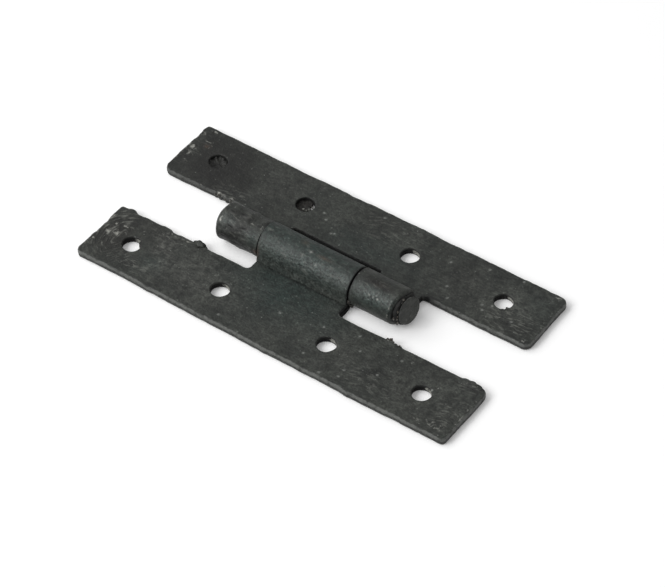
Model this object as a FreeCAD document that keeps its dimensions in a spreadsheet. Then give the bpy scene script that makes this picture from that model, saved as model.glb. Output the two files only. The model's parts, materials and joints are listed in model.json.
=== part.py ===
import FreeCAD, Part
import math
import os

import Sketcher
from FreeCAD import Vector

# H hinge: two cut strips of sheet steel, each with necks rolled into knuckles, turning on one pin.
# Frame: X runs along the pin, Y across both leaves, Z up. The hinge lies flat with its back at z = 0.

# Driving sizes in millimetres.
SIZES = {
    "leaf_length": 83.0,  # end to end of either strip
    "strip_width": 14.2,  # across one strip
    "barrel_to_strip": 2.75,  # between the barrel and the facing edge of either strip
    "sheet_thickness": 1.5,
    "corner_radius": 1.2,  # outer corners of the strips
    "edge_break": 0.25,  # worn edges of the sheet, all round
    "neck_fillet": 1.0,  # inside corners where a neck leaves its strip
    "slot_relief": 0.65,  # how far the slot behind the centre knuckle is cut into its strip
    "pin_diameter": 4.4,
    "pin_clearance": 0.05,  # radial, between the pin and every knuckle
    "barrel_shift": -1.4,  # middle of the barrel, from the middle of the leaves
    "centre_knuckle_length": 20.4,
    "outer_knuckle_length": 9.75,
    "knuckle_gap": 0.25,  # end play on each side of the centre knuckle
    "seam_gap": 0.2,  # between the end of a rolled sheet and the plate under it
    "hole_diameter": 3.7,
    "hole_rim": 0.25,  # break on the upper lip of each screw hole
    "hole_shift": -0.9,  # middle of the hole rows, from the middle of the leaves
    "end_hole_margin": 8.7,  # end of a leaf to its outer holes, before that shift
    "inner_hole_spacing": 24.1,
    "head_overhang": 0.6,  # how far the pin's heads stand out over its shank
    "flat_head_height": 1.3,  # right end of the pin, filed flat
    "peened_head_height": 0.35,  # left end, straight side of its head
    "peened_head_crown": 0.5,  # rise of the hammered end over that side
}

# Places that follow from the driving sizes, as expressions.
PIN_RADIUS = "Sizes.pin_diameter / 2"
BORE_RADIUS = f"{PIN_RADIUS} + Sizes.pin_clearance"
BARREL_RADIUS = f"{BORE_RADIUS} + Sizes.sheet_thickness"
HEAD_RADIUS = f"{PIN_RADIUS} + Sizes.head_overhang"
LEAF_END = "Sizes.leaf_length / 2"
STRIP_INNER = f"{BARREL_RADIUS} + Sizes.barrel_to_strip"
STRIP_MIDDLE = f"{STRIP_INNER} + Sizes.strip_width / 2"
STRIP_OUTER = f"{STRIP_INNER} + Sizes.strip_width"
SLOT_FLOOR = f"{STRIP_INNER} + Sizes.slot_relief"
CENTRE_HALF = "Sizes.centre_knuckle_length / 2"
OUTER_START = f"{CENTRE_HALF} + Sizes.knuckle_gap"
BARREL_HALF = f"{OUTER_START} + Sizes.outer_knuckle_length"
FLAT_FACE = f"{BARREL_HALF} + Sizes.flat_head_height"
PEENED_SIDE = f"{BARREL_HALF} + Sizes.peened_head_height"
PEENED_TIP = f"{PEENED_SIDE} + Sizes.peened_head_crown"

# Sketcher counts its two axes down from minus one, and the points of a curve up from one.
X_AXIS, Y_AXIS = range(-1, -3, -1)
START, END, CENTRE = range(1, 4)

# Which side of the pin a leaf lies on, along Y.
NEAR, FAR = -1, 1
TOLERANCE = 1e-6

doc = FreeCAD.newDocument("h_hinge")
sheet = doc.addObject("Spreadsheet::Sheet", "Sizes")
for row, (alias, value) in enumerate(SIZES.items(), 1):
    sheet.set(f"A{row}", alias.replace("_", " "))
    sheet.set(f"B{row}", str(value))
    sheet.setAlias(f"B{row}", alias)
doc.recompute()


def new_body(label):
    body = doc.addObject("PartDesign::Body", label)
    body.Label = label
    return body


def origin_plane(body, role):
    return next(item for item in body.Origin.OriginFeatures if item.Role == role)


def new_sketch(body, role, name):
    """Empty sketch on one of the body's own origin planes."""
    sketch = body.newObject("Sketcher::SketchObject", name)
    sketch.AttachmentSupport = [(origin_plane(body, role), "")]
    sketch.MapMode = "FlatFace"
    return sketch


def tie(sketch, kind, *where):
    sketch.addConstraint(Sketcher.Constraint(kind, *where))


def bind(sketch, kind, geometry, *where):
    """Add a constraint of the geometry as drawn, then bind its size to an expression, the last argument."""
    *point, expression = where
    if kind in ("DistanceX", "DistanceY"):
        drawn = sketch.getPoint(geometry, *point)
        size = drawn.x if kind == "DistanceX" else drawn.y
    else:
        size = sketch.Geometry[geometry].Radius * (2 if kind == "Diameter" else 1)
    index = sketch.addConstraint(Sketcher.Constraint(kind, geometry, *point, size))
    sketch.setExpression(f"Constraints[{index}]", expression)


def hold_outline(sketch, corners):
    """Join the drawn sides end to end and bind each corner, an (x, y) pair of expressions."""
    for side, (x, y) in enumerate(corners):
        tie(sketch, "Coincident", (side or len(corners)) - 1, END, side, START)
        bind(sketch, "DistanceX", side, START, x)
        bind(sketch, "DistanceY", side, START, y)


def straight_outline(sketch, corners):
    """Closed outline of straight sides, drawn as a regular polygon and then bound to its corners."""
    turns = [2 * math.pi * side / len(corners) for side in range(len(corners))]
    ring = [Vector(math.cos(turn), math.sin(turn), 0) for turn in turns]
    for first, last in zip(ring, ring[1:] + ring[:1]):
        sketch.addGeometry(Part.LineSegment(first, last))
    hold_outline(sketch, corners)


def pad(body, sketch, name, length):
    feature = body.newObject("PartDesign::Pad", name)
    feature.Profile = sketch
    feature.setExpression("Length", length)
    doc.recompute()
    return feature


def dress(body, kind, name, base, edges, size_name, size):
    """Fillet or chamfer on some of the edges of a feature."""
    feature = body.newObject(f"PartDesign::{kind}", name)
    feature.Base = (base, edges)
    feature.setExpression(size_name, size)
    doc.recompute()
    return feature


def named_edges(shape, wanted):
    """Names of the edges for which the function wanted is true."""
    return [f"Edge{number}" for number, edge in enumerate(shape.Edges, 1) if wanted(edge)]


def is_upright(edge):
    box = edge.BoundBox
    return box.ZLength > TOLERANCE and box.XLength < TOLERANCE and box.YLength < TOLERANCE


def flat_blank(body, corners):
    """The sheet before it is rolled: strip and necks, with the corners rounded."""
    sketch = new_sketch(body, "XY_Plane", "blank_outline")
    straight_outline(sketch, corners)
    blank = pad(body, sketch, "blank", "Sizes.sheet_thickness")
    leaf_end = sheet.leaf_length / 2

    def at_leaf_end(edge):
        return abs(abs(edge.BoundBox.XMin) - leaf_end) < TOLERANCE

    def at_neck_root(edge):
        box = edge.BoundBox
        on_strip_end = abs(box.XMin) > leaf_end - sheet.corner_radius - TOLERANCE
        return is_upright(edge) and not on_strip_end and abs(box.YMin) > TOLERANCE

    ends = named_edges(blank.Shape, lambda edge: is_upright(edge) and at_leaf_end(edge))
    rounded = dress(body, "Fillet", "strip_corners", blank, ends, "Radius", "Sizes.corner_radius")
    roots = named_edges(rounded.Shape, at_neck_root)
    dress(body, "Fillet", "neck_roots", rounded, roots, "Radius", "Sizes.neck_fillet")


def rolled_knuckle(body, name, side, start, length):
    """The neck's sheet carried round the pin, from under it to a seam just over the plate.

    The section is a sheet-thick ring, open at the seam. It leaves the plate tangent at the bottom, goes up on
    the other leaf's side and over the top, and ends on its own leaf's side at the seam gap over the plate.
    """
    sketch = new_sketch(body, "YZ_Plane", f"{name}_section")
    sketch.setExpression("AttachmentOffset.Base.z", start)
    bore = sheet.pin_diameter / 2 + sheet.pin_clearance
    radius = bore + sheet.sheet_thickness
    centre = Vector(0, radius, 0)
    seam = math.asin((bore - sheet.seam_gap) / radius)
    bottom = -math.pi / 2
    turns = (bottom, math.pi + seam) if side == NEAR else (-seam, bottom + 2 * math.pi)
    root, curl = (START, END) if side == NEAR else (END, START)
    outer, inner, root_end, curl_end = range(4)
    for ring in (radius, bore):
        circle = Part.Circle(centre, Vector(0, 0, 1), ring)
        sketch.addGeometry(Part.ArcOfCircle(circle, *turns))
    for point in (root, curl):
        ends = [sketch.getPoint(arc, point) for arc in (outer, inner)]
        sketch.addGeometry(Part.LineSegment(*ends))
    for line, point in ((root_end, root), (curl_end, curl)):
        tie(sketch, "Coincident", outer, point, line, START)
        tie(sketch, "Coincident", inner, point, line, END)
    tie(sketch, "Coincident", outer, CENTRE, inner, CENTRE)
    tie(sketch, "PointOnObject", outer, CENTRE, Y_AXIS)
    tie(sketch, "PointOnObject", outer, root, Y_AXIS)
    tie(sketch, "PointOnObject", inner, root, Y_AXIS)
    tie(sketch, "PointOnObject", outer, CENTRE, curl_end)
    bind(sketch, "DistanceY", outer, CENTRE, BARREL_RADIUS)
    bind(sketch, "Radius", outer, BARREL_RADIUS)
    bind(sketch, "Radius", inner, BORE_RADIUS)
    bind(sketch, "DistanceY", outer, curl, "Sizes.sheet_thickness + Sizes.seam_gap")
    pad(body, sketch, name, length)


def worn_edges(body):
    """Break the edges of both faces of the sheet. They run on round the ends of the knuckles."""
    base = body.Tip
    flat_faces = [face for face in base.Shape.Faces if face.BoundBox.ZLength < TOLERANCE]
    borders = [edge for face in flat_faces for edge in face.OuterWire.Edges]

    def is_border(edge):
        box = edge.BoundBox
        meets_roll = max(abs(box.YMin), abs(box.YMax)) < TOLERANCE
        return not meets_roll and any(edge.isSame(border) for border in borders)

    edges = named_edges(base.Shape, is_border)
    dress(body, "Chamfer", "worn_edges", base, edges, "Size", "Sizes.edge_break")


def screw_holes(body, side):
    """Four plain holes on the middle line of the strip, with their upper lips broken."""
    sketch = new_sketch(body, "XY_Plane", "hole_row")
    reaches = (f"{LEAF_END} - Sizes.end_hole_margin", "Sizes.inner_hole_spacing / 2")
    places = [f"Sizes.hole_shift + {sign} * ({reach})" for reach in reaches for sign in (-1, 1)]
    for hole, place in enumerate(places):
        sketch.addGeometry(Part.Circle(Vector(hole, side, 0), Vector(0, 0, 1), 1))
        bind(sketch, "Diameter", hole, "Sizes.hole_diameter")
        bind(sketch, "DistanceX", hole, CENTRE, place)
        bind(sketch, "DistanceY", hole, CENTRE, f"{side} * ({STRIP_MIDDLE})")
    uncut = body.Tip.Shape.Volume
    holes = body.newObject("PartDesign::Pocket", "holes")
    holes.Profile = sketch
    holes.Type = "ThroughAll"
    holes.Reversed = True
    doc.recompute()
    plugs = len(places) * math.pi * sheet.hole_diameter**2 / 4 * sheet.sheet_thickness
    if not math.isclose(uncut - holes.Shape.Volume, plugs, rel_tol=1e-3):
        raise RuntimeError("The holes do not pass through the strip.")

    def is_upper_lip(edge):
        return edge.isClosed() and abs(edge.CenterOfMass.z - sheet.sheet_thickness) < TOLERANCE

    lips = named_edges(holes.Shape, is_upper_lip)
    dress(body, "Chamfer", "hole_rims", holes, lips, "Size", "Sizes.hole_rim")


def along_barrel(offset):
    """Place along X at an offset from the middle of the barrel, as an expression."""
    return f"Sizes.barrel_shift + ({offset})"


def centre_knuckle_leaf():
    """Strip with one neck, rolled into the middle knuckle."""
    body = new_body("centre_knuckle_leaf")
    inner, outer = f"-({STRIP_INNER})", f"-({STRIP_OUTER})"
    left, right = along_barrel(f"-({CENTRE_HALF})"), along_barrel(CENTRE_HALF)
    flat_blank(body, [
        (f"-{LEAF_END}", outer),
        (LEAF_END, outer),
        (LEAF_END, inner),
        (right, inner),
        (right, "0"),
        (left, "0"),
        (left, inner),
        (f"-{LEAF_END}", inner),
    ])
    rolled_knuckle(body, "centre_knuckle", NEAR, left, "Sizes.centre_knuckle_length")
    worn_edges(body)
    screw_holes(body, NEAR)
    return body


def outer_knuckle_leaf():
    """Strip with two necks, rolled into the end knuckles, and a slot between them."""
    body = new_body("outer_knuckle_leaf")
    left_end, slot_left = along_barrel(f"-({BARREL_HALF})"), along_barrel(f"-({OUTER_START})")
    slot_right, right_end = along_barrel(OUTER_START), along_barrel(BARREL_HALF)
    flat_blank(body, [
        (f"-{LEAF_END}", STRIP_INNER),
        (left_end, STRIP_INNER),
        (left_end, "0"),
        (slot_left, "0"),
        (slot_left, SLOT_FLOOR),
        (slot_right, SLOT_FLOOR),
        (slot_right, "0"),
        (right_end, "0"),
        (right_end, STRIP_INNER),
        (LEAF_END, STRIP_INNER),
        (LEAF_END, STRIP_OUTER),
        (f"-{LEAF_END}", STRIP_OUTER),
    ])
    rolled_knuckle(body, "left_knuckle", FAR, left_end, "Sizes.outer_knuckle_length")
    rolled_knuckle(body, "right_knuckle", FAR, slot_right, "Sizes.outer_knuckle_length")
    worn_edges(body)
    screw_holes(body, FAR)
    return body


def hinge_pin():
    """Round pin with two heads: the right one filed flat, the left one peened to a low crown."""
    body = new_body("hinge_pin")
    body.setExpression("Placement.Base.x", "Sizes.barrel_shift")
    body.setExpression("Placement.Base.z", BARREL_RADIUS)
    sketch = new_sketch(body, "XZ_Plane", "half_section")
    shank = sheet.pin_diameter / 2
    head = shank + sheet.head_overhang
    seat = sheet.centre_knuckle_length / 2 + sheet.knuckle_gap + sheet.outer_knuckle_length
    flat_face = seat + sheet.flat_head_height
    peened_side = seat + sheet.peened_head_height
    peened_tip = peened_side + sheet.peened_head_crown
    profile = [
        (-peened_tip, 0),
        (flat_face, 0),
        (flat_face, head),
        (seat, head),
        (seat, shank),
        (-seat, shank),
        (-seat, head),
        (-peened_side, head),
    ]
    points = [Vector(x, y, 0) for x, y in profile]
    for first, last in zip(points, points[1:]):
        sketch.addGeometry(Part.LineSegment(first, last))
    crown_radius = (head**2 + sheet.peened_head_crown**2) / (2 * sheet.peened_head_crown)
    crown = Part.Circle(Vector(crown_radius - peened_tip, 0, 0), Vector(0, 0, 1), crown_radius)
    crown_start = math.pi - math.asin(head / crown_radius)
    crown_arc = sketch.addGeometry(Part.ArcOfCircle(crown, crown_start, math.pi))
    hold_outline(sketch, [
        (f"-({PEENED_TIP})", "0"),
        (FLAT_FACE, "0"),
        (FLAT_FACE, HEAD_RADIUS),
        (BARREL_HALF, HEAD_RADIUS),
        (BARREL_HALF, PIN_RADIUS),
        (f"-({BARREL_HALF})", PIN_RADIUS),
        (f"-({BARREL_HALF})", HEAD_RADIUS),
        (f"-({PEENED_SIDE})", HEAD_RADIUS),
    ])
    tie(sketch, "PointOnObject", crown_arc, CENTRE, X_AXIS)
    turned = body.newObject("PartDesign::Revolution", "turned_pin")
    turned.Profile = sketch
    turned.ReferenceAxis = (sketch, ["H_Axis"])
    turned.Angle = 360
    doc.recompute()

    def is_flat_rim(edge):
        box = edge.BoundBox
        return edge.isClosed() and box.XLength < TOLERANCE and abs(box.XMin - flat_face) < TOLERANCE

    rim = named_edges(turned.Shape, is_flat_rim)
    dress(body, "Chamfer", "flat_head_rim", turned, rim, "Size", "Sizes.edge_break")
    return body


bodies = [centre_knuckle_leaf(), outer_knuckle_leaf(), hinge_pin()]
doc.recompute()

for item in doc.Objects:
    if {"Invalid", "Error"} & set(item.State):
        raise RuntimeError(f"{item.Name} did not build: {item.State}")
for body in bodies:
    if body.Shape.isNull() or not body.Shape.isValid() or len(body.Shape.Solids) != 1:
        raise RuntimeError(f"{body.Label} is not one sound solid.")

os.makedirs("parts", exist_ok=True)
for body in bodies:
    body.Shape.exportStep(f"parts/{body.Label}.step")
    box = body.Shape.optimalBoundingBox()
    print(f"{body.Label}: {body.Shape.Volume:.2f} mm3, X {box.XMin:.2f} to {box.XMax:.2f}, "
          f"Y {box.YMin:.2f} to {box.YMax:.2f}, Z {box.ZMin:.2f} to {box.ZMax:.2f}")
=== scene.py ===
# %% [markdown]
# # A hand-made H hinge in waxed steel
# Two strips of sheet steel are the legs of the H, and the barrel between them is its bar. A smith cut
# each strip with one or two necks, rolled the necks round a pin, hammered one end of the pin over and
# filed the other flat. The steel was blackened and rubbed with wax, so it is a dull, greenish charcoal
# with paler, rubbed edges.
#
# The frame holds the exact solids. They are right in size but smooth and sharp, so every piece is
# modelled again here, in the same place, with the uneven cut edges, hammer marks, burrs and wax that the
# real hinge shows.

import json
import math
from types import SimpleNamespace

import bpy
import numpy as np
from mathutils import Matrix, Vector


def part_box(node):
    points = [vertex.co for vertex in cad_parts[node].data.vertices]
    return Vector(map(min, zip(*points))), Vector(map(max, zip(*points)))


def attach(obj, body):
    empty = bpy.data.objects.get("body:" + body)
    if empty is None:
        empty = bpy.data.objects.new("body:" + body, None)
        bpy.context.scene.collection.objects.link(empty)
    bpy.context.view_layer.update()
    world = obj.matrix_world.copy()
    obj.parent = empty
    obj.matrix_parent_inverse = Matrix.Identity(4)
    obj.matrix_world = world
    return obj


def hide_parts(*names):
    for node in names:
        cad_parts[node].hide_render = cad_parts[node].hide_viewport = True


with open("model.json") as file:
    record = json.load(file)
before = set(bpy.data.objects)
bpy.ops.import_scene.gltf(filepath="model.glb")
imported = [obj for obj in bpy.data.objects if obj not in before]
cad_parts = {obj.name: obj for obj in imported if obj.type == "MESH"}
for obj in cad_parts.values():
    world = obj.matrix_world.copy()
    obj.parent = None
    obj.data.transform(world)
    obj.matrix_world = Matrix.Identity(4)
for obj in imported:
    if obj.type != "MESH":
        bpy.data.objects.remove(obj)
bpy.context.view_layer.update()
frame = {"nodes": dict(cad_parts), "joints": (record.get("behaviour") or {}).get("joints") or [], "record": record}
print("nodes:", sorted(frame["nodes"]))

# %% [markdown]
# ## Sizes
# A piece fits its neighbours if its sizes come from the frame, not from a guess. The boxes of the nodes
# give the strips and the barrel, the screw holes are written in the record, and the joint gives the
# middle of the barrel. Shapes are worked out in millimetres, because that is how a smith would say them,
# and turned to metres at the end.

# %% Read the sizes
MM = 0.001
HOLE_ROWS = ("centre_leaf_outer_holes", "centre_leaf_inner_holes")


def box_mm(node):
    """Lowest and highest corner of a node's box, in millimetres."""
    return [np.array(corner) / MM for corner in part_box(node)]


near_low, near_high = box_mm("centre_knuckle_leaf")
pin_high = box_mm("hinge_pin")[1]
rows = {mount["name"]: mount for mount in frame["record"]["mounts"] if mount["kind"] == "bolt_pattern"}
row_x, row_y, row_z = (value / MM for value in rows[HOLE_ROWS[0]]["pos_m"])

LEAF_END = near_high[0]
STRIP_OUTER = -near_low[1]
HOLE_LINE = -row_y
STRIP_INNER = 2 * HOLE_LINE - STRIP_OUTER
THICKNESS = row_z
HOLE_RADIUS = rows[HOLE_ROWS[0]]["dims"]["hole_r_mm"]
HOLE_PLACES = sorted(
    row_x + sign * rows[name]["dims"]["spacing_x_mm"] / 2 for name in HOLE_ROWS for sign in (-1, 1)
)
BARREL_RADIUS = near_high[2] / 2
MID_RADIUS = BARREL_RADIUS - THICKNESS / 2
BARREL_MIDDLE = frame["joints"][0]["pos_m"][0] / MM

CENTRE_KNUCKLE, END_KNUCKLE = 20.4, 9.75  # lengths along the pin
END_PLAY = 0.25  # between two knuckles
SLOT_RELIEF = 0.85  # how far the slot is cut into the far strip
SEAM_HEIGHT = 0.06  # of the rolled end over the plate
NEAR, FAR = -1, 1  # the side of the pin that a leaf lies on, along Y
print(f"strips {2 * LEAF_END:.1f} x {STRIP_OUTER - STRIP_INNER:.1f} x {THICKNESS:.1f} mm")
print(f"barrel {2 * BARREL_RADIUS:.1f} mm, holes {2 * HOLE_RADIUS:.1f} mm at x {np.round(HOLE_PLACES, 2)}")

# %% [markdown]
# ## Uneven, but the same every time
# Hammered metal is uneven at every scale. Two fields give that. A *ripple* is a sum of plane waves in
# random directions, soft like a forged surface. *Blows* are shallow bowls with creases between them, like
# hammer marks: the squared distance to the nearest point of a shaken grid. Both are drawn from a seed, so
# each run gives the same hinge. Blender's own noise would do for colour, but a mesh needs numbers before
# there is a material.

# %% Ripples and blows
WAVE_SPREAD = (0.6, 1.6)  # shortest and longest wave of a ripple, as shares of its wavelength
BLOW_SHAKE = (0.1, 0.9)  # place of a blow in its square of the grid
BLOW_TABLE = 64  # blows along one side of the table, after which they repeat


def ripple(u, v, wavelength, seed, waves=28):
    """Random field of strength one: a sum of cosine waves of about one wavelength in seeded directions."""
    rng = np.random.default_rng(seed)
    turns, phases = rng.uniform(0, 2 * np.pi, (2, waves))
    lengths = wavelength * rng.uniform(*WAVE_SPREAD, waves)
    total = np.zeros(np.broadcast(u, v).shape)
    for turn, phase, length in zip(turns, phases, lengths):
        total += np.cos(2 * np.pi / length * (u * np.cos(turn) + v * np.sin(turn)) + phase)
    return total / math.sqrt(waves / 2)


def blows(u, v, spacing, seed):
    """Hammer marks: squared distance to the nearest point of a shaken grid, zero amid a blow."""
    shake = np.random.default_rng(seed).uniform(*BLOW_SHAKE, (BLOW_TABLE, BLOW_TABLE, 2))
    column, row = np.floor(u / spacing).astype(int), np.floor(v / spacing).astype(int)
    nearest = np.full(np.broadcast(u, v).shape, np.inf)
    for step in np.ndindex(3, 3):
        i, j = column + step[0] - 1, row + step[1] - 1
        place = shake[i % BLOW_TABLE, j % BLOW_TABLE]
        gap = (u / spacing - i - place[..., 0]) ** 2 + (v / spacing - j - place[..., 1]) ** 2
        nearest = np.minimum(nearest, gap)
    return nearest


line = np.linspace(0, 2 * LEAF_END, 400)
print(f"ripple along a strip: spread {ripple(line, 0 * line, 5, 1).std():.2f}")

# %% [markdown]
# Accidents have places of their own: a burr stands at one spot of an edge, a scuff at one spot of a face.
# They are written as short lists of marks. A *bump* is a bell along a line, and a *spot* is a soft oval
# on the sheet.

# %% Marks


def bumps(along, marks):
    """Sum of flat-topped bells along one line, height times exp(-d^4), from (place, half width, height)."""
    total = np.zeros_like(along)
    for place, width, height in marks:
        total += height * np.exp(-(((along - place) / width) ** 4))
    return total


def spots(u, v, marks):
    """Strongest of the soft oval spots at each point, from (u, v, half length, half width, strength)."""
    strongest = np.zeros_like(u)
    for at_u, at_v, long, wide, strength in marks:
        oval = np.exp(-((u - at_u) / long) ** 2 - ((v - at_v) / wide) ** 2)
        strongest = np.maximum(strongest, strength * oval)
    return strongest


print(f"a bump of height 1 is {bumps(np.ones(1), [(0, 1, 1)])[0]:.2f} high at its half width")

# %% [markdown]
# ## The flat blank
# Before it is rolled, a leaf is a flat sheet with necks. Its places are written as (x, v): x along the
# pin, v away from the pin on the leaf's own side. Where v is negative, the sheet will be rolled. One grid
# of straight lines covers the sheet, with lines drawn together at every edge, and the cells outside the
# outline are left out. The grid is then pulled to its true outline: squares become round holes, and
# square corners become round ones. A boolean cut would give long thin faces, which shade badly. This way
# keeps even quads right up to each edge.

# %% Grid lines and cells
EDGE_STEPS = np.array([0.0, 0.04, 0.1, 0.18, 0.3, 0.46, 0.68])
GRID_STEP = 0.26
FINE_STEP = 0.09  # along a torn stretch of edge
HOLE_SQUARE = 1.25  # half of the square of cells that is left out for a hole
HOLE_PATCH = 2.7  # half of the square that is pulled round with it
HOLE_CELLS = 18
CURL_TURN = 2 * math.pi - math.acos(1 - (THICKNESS + SEAM_HEIGHT) / BARREL_RADIUS)
CURL_END = -MID_RADIUS * CURL_TURN


def grid_lines(fixed, step):
    """The fixed places in order, with even lines between them, at most one step apart."""
    fixed = np.unique(np.round(np.concatenate(fixed), 4))
    spans = [np.linspace(a, b, math.ceil((b - a) / step), endpoint=False) for a, b in zip(fixed, fixed[1:])]
    return np.concatenate(spans + [fixed[-1:]])


def within(value, spans):
    """True where a value lies inside any of the spans."""
    return np.any([(value > start) & (value < end) for start, end in spans], axis=0)


def blank_lines(leaf):
    """Lines of a leaf's grid along x and along v, drawn together at edges, holes and torn stretches."""
    across = np.linspace(-HOLE_SQUARE, HOLE_SQUARE, HOLE_CELLS + 1)
    hole = np.concatenate([across, HOLE_SQUARE + EDGE_STEPS, -HOLE_SQUARE - EDGE_STEPS])
    x_fixed = [EDGE_STEPS - LEAF_END, LEAF_END - EDGE_STEPS]
    x_fixed += [place + hole for place in HOLE_PLACES]
    x_fixed += [np.arange(start, end, FINE_STEP) for start, end in leaf.torn]
    x_fixed += [start + EDGE_STEPS for start, _ in leaf.necks] + [end - EDGE_STEPS for _, end in leaf.necks]
    v_fixed = [CURL_END + EDGE_STEPS, np.zeros(1), STRIP_INNER + EDGE_STEPS]
    v_fixed += [HOLE_LINE + hole, STRIP_OUTER - EDGE_STEPS]
    v_fixed += [STRIP_INNER + SLOT_RELIEF + EDGE_STEPS] if leaf.slots else []
    return grid_lines(x_fixed, GRID_STEP), grid_lines(v_fixed, GRID_STEP)


def blank_grid(leaf):
    """Places (x, v) of the grid's points inside the outline, and the four corners of each cell."""
    x, v = blank_lines(leaf)
    cell_x, cell_v = np.meshgrid((x[1:] + x[:-1]) / 2, (v[1:] + v[:-1]) / 2, indexing="ij")
    hole_spans = [(place - HOLE_SQUARE, place + HOLE_SQUARE) for place in HOLE_PLACES]
    in_hole = within(cell_x, hole_spans) & (abs(cell_v - HOLE_LINE) < HOLE_SQUARE)
    kept = (cell_v > STRIP_INNER) | within(cell_x, leaf.necks)
    if leaf.slots:
        kept &= ~(within(cell_x, leaf.slots) & (cell_v < STRIP_INNER + SLOT_RELIEF))
    i, j = np.nonzero(kept & ~in_hole)
    corners = [(i + across) * len(v) + j + along for across, along in ((0, 0), (1, 0), (1, 1), (0, 1))]
    used, cells = np.unique(np.stack(corners, axis=1), return_inverse=True)
    return x[used // len(v)], v[used % len(v)], cells.reshape(-1, 4)


print(f"a neck is {STRIP_INNER - CURL_END:.1f} mm long, rolled by {math.degrees(CURL_TURN):.0f} degrees")

# %% [markdown]
# The holes and corners use one map from a square to a disc. It takes the place (a, b) to
# (a √(1 - b²/2), b √(1 - a²/2)), and leaves the middle lines alone, so a pulled corner still meets
# the straight grid beside it. The inside corners at the roots of the necks go the other way: their edge
# points slide onto a small arc, and the points behind follow.

# %% Round holes and corners
HOLE_UNEVEN, HOLE_WAVE = 0.03, 1.4  # height and wavelength of a hole's unevenness


def on_disc(a, b):
    """Place on the unit disc of a place on the square from -1 to 1."""
    return a * np.sqrt(1 - b**2 / 2), b * np.sqrt(1 - a**2 / 2)


def round_holes(x, v, leaf):
    """Squares about each hole become rings, from the hole's uneven circle out to the patch's square."""
    for number, place in enumerate(HOLE_PLACES):
        a, b = x - place, v - HOLE_LINE
        reach = np.maximum(abs(a), abs(b))
        near = reach < HOLE_PATCH
        a, b, reach = a[near], b[near], reach[near]
        round_a, round_b = on_disc(a / reach, b / reach)
        angle = np.arctan2(round_b, round_a)
        uneven = ripple(np.cos(angle), np.sin(angle), HOLE_WAVE, leaf.seed + number)
        radius = HOLE_RADIUS + HOLE_UNEVEN * uneven - bumps(angle, leaf.teeth.get(number, ()))
        share = (reach - HOLE_SQUARE) / (HOLE_PATCH - HOLE_SQUARE)
        x[near] = place + (1 - share) * radius * round_a + share * HOLE_PATCH * a / reach
        v[near] = HOLE_LINE + (1 - share) * radius * round_b + share * HOLE_PATCH * b / reach


def round_corner(x, v, end, edge, radius):
    """Pull one outer corner round. end and edge are -1 or 1: left or right, and inner or outer edge."""
    corner_v = HOLE_LINE + edge * (STRIP_OUTER - HOLE_LINE)
    a = 1 - (LEAF_END - end * x) / radius
    b = 1 - edge * (corner_v - v) / radius
    square = (a > 0) & (b > 0)
    a, b = on_disc(a[square], b[square])
    x[square] = end * (LEAF_END - radius * (1 - a))
    v[square] = corner_v - edge * radius * (1 - b)


def fill_root(x, v, root_x, root_v, out, radius):
    """Slide an inside corner onto an arc. out is the way, -1 or 1, from the neck to the open side."""
    p, q = out * (x - root_x), root_v - v
    fade = np.clip(1 + np.minimum(p, 0) / (2 * radius), 0, 1) ** 2
    fade *= np.clip(1 + np.minimum(q, 0) / (2 * radius), 0, 1) ** 2
    on_strip = p >= q
    share = np.clip(np.where(on_strip, p, q) / radius, 0, 1)
    turn = (1 - share) * np.pi / 4
    along, away = radius * (1 - np.sin(turn) - share), radius * (1 - np.cos(turn))
    corner = (p < 0) & (q < 0)
    along = np.where(corner, away, along)
    x += out * fade * np.where(on_strip, along, away)
    v -= fade * np.where(on_strip, away, along)


print("the square's corner (1, 1) comes to", np.round(on_disc(1.0, 1.0), 3), "on the disc")

# %% [markdown]
# ## Cut and hammered edges
# The strips were cut by hand, so no edge is straight: they wander a little, and here and there a burr or
# a lump of scale stands out. Each edge gets a slow ripple, a fast one, and a short list of the burrs seen
# on the real hinge. The shift is strongest on the edge and fades into the sheet, so the grid behind an
# edge bends with it.

# %% Uneven outline
CUT_WAVES = ((0.045, 13), (0.014, 1.8))  # height and wavelength of the slow and the fast wander of a cut
OUTER_SEED, INNER_SEED, CURL_SEED, END_SEED, NECK_SEED = 10, 20, 30, 40, 50  # added to a leaf's seed
EDGE_FADE = 1.3
NECK_FADE, NECK_WANDER = 0.6, 0.3  # shares of the fade and of the wander on a neck's sides
BURR_FADE = 0.4  # share of the fade behind a burr on a neck
SLANT_FADE = 2  # times the fade behind a slanting end of the barrel
SLANT_FLOOR = -0.35  # below this share of the radius the slant stops


def wander(along, seed):
    """Uneven cut: a slow ripple and a fast one along an edge."""
    still = np.zeros_like(along)
    return sum(
        height * ripple(along, still, wavelength, seed + number)
        for number, (height, wavelength) in enumerate(CUT_WAVES)
    )


def edge_fade(distance):
    """Share of an edge's shift at a distance from it, exp(-d^2)."""
    return np.exp(-((distance / EDGE_FADE) ** 2))


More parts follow.
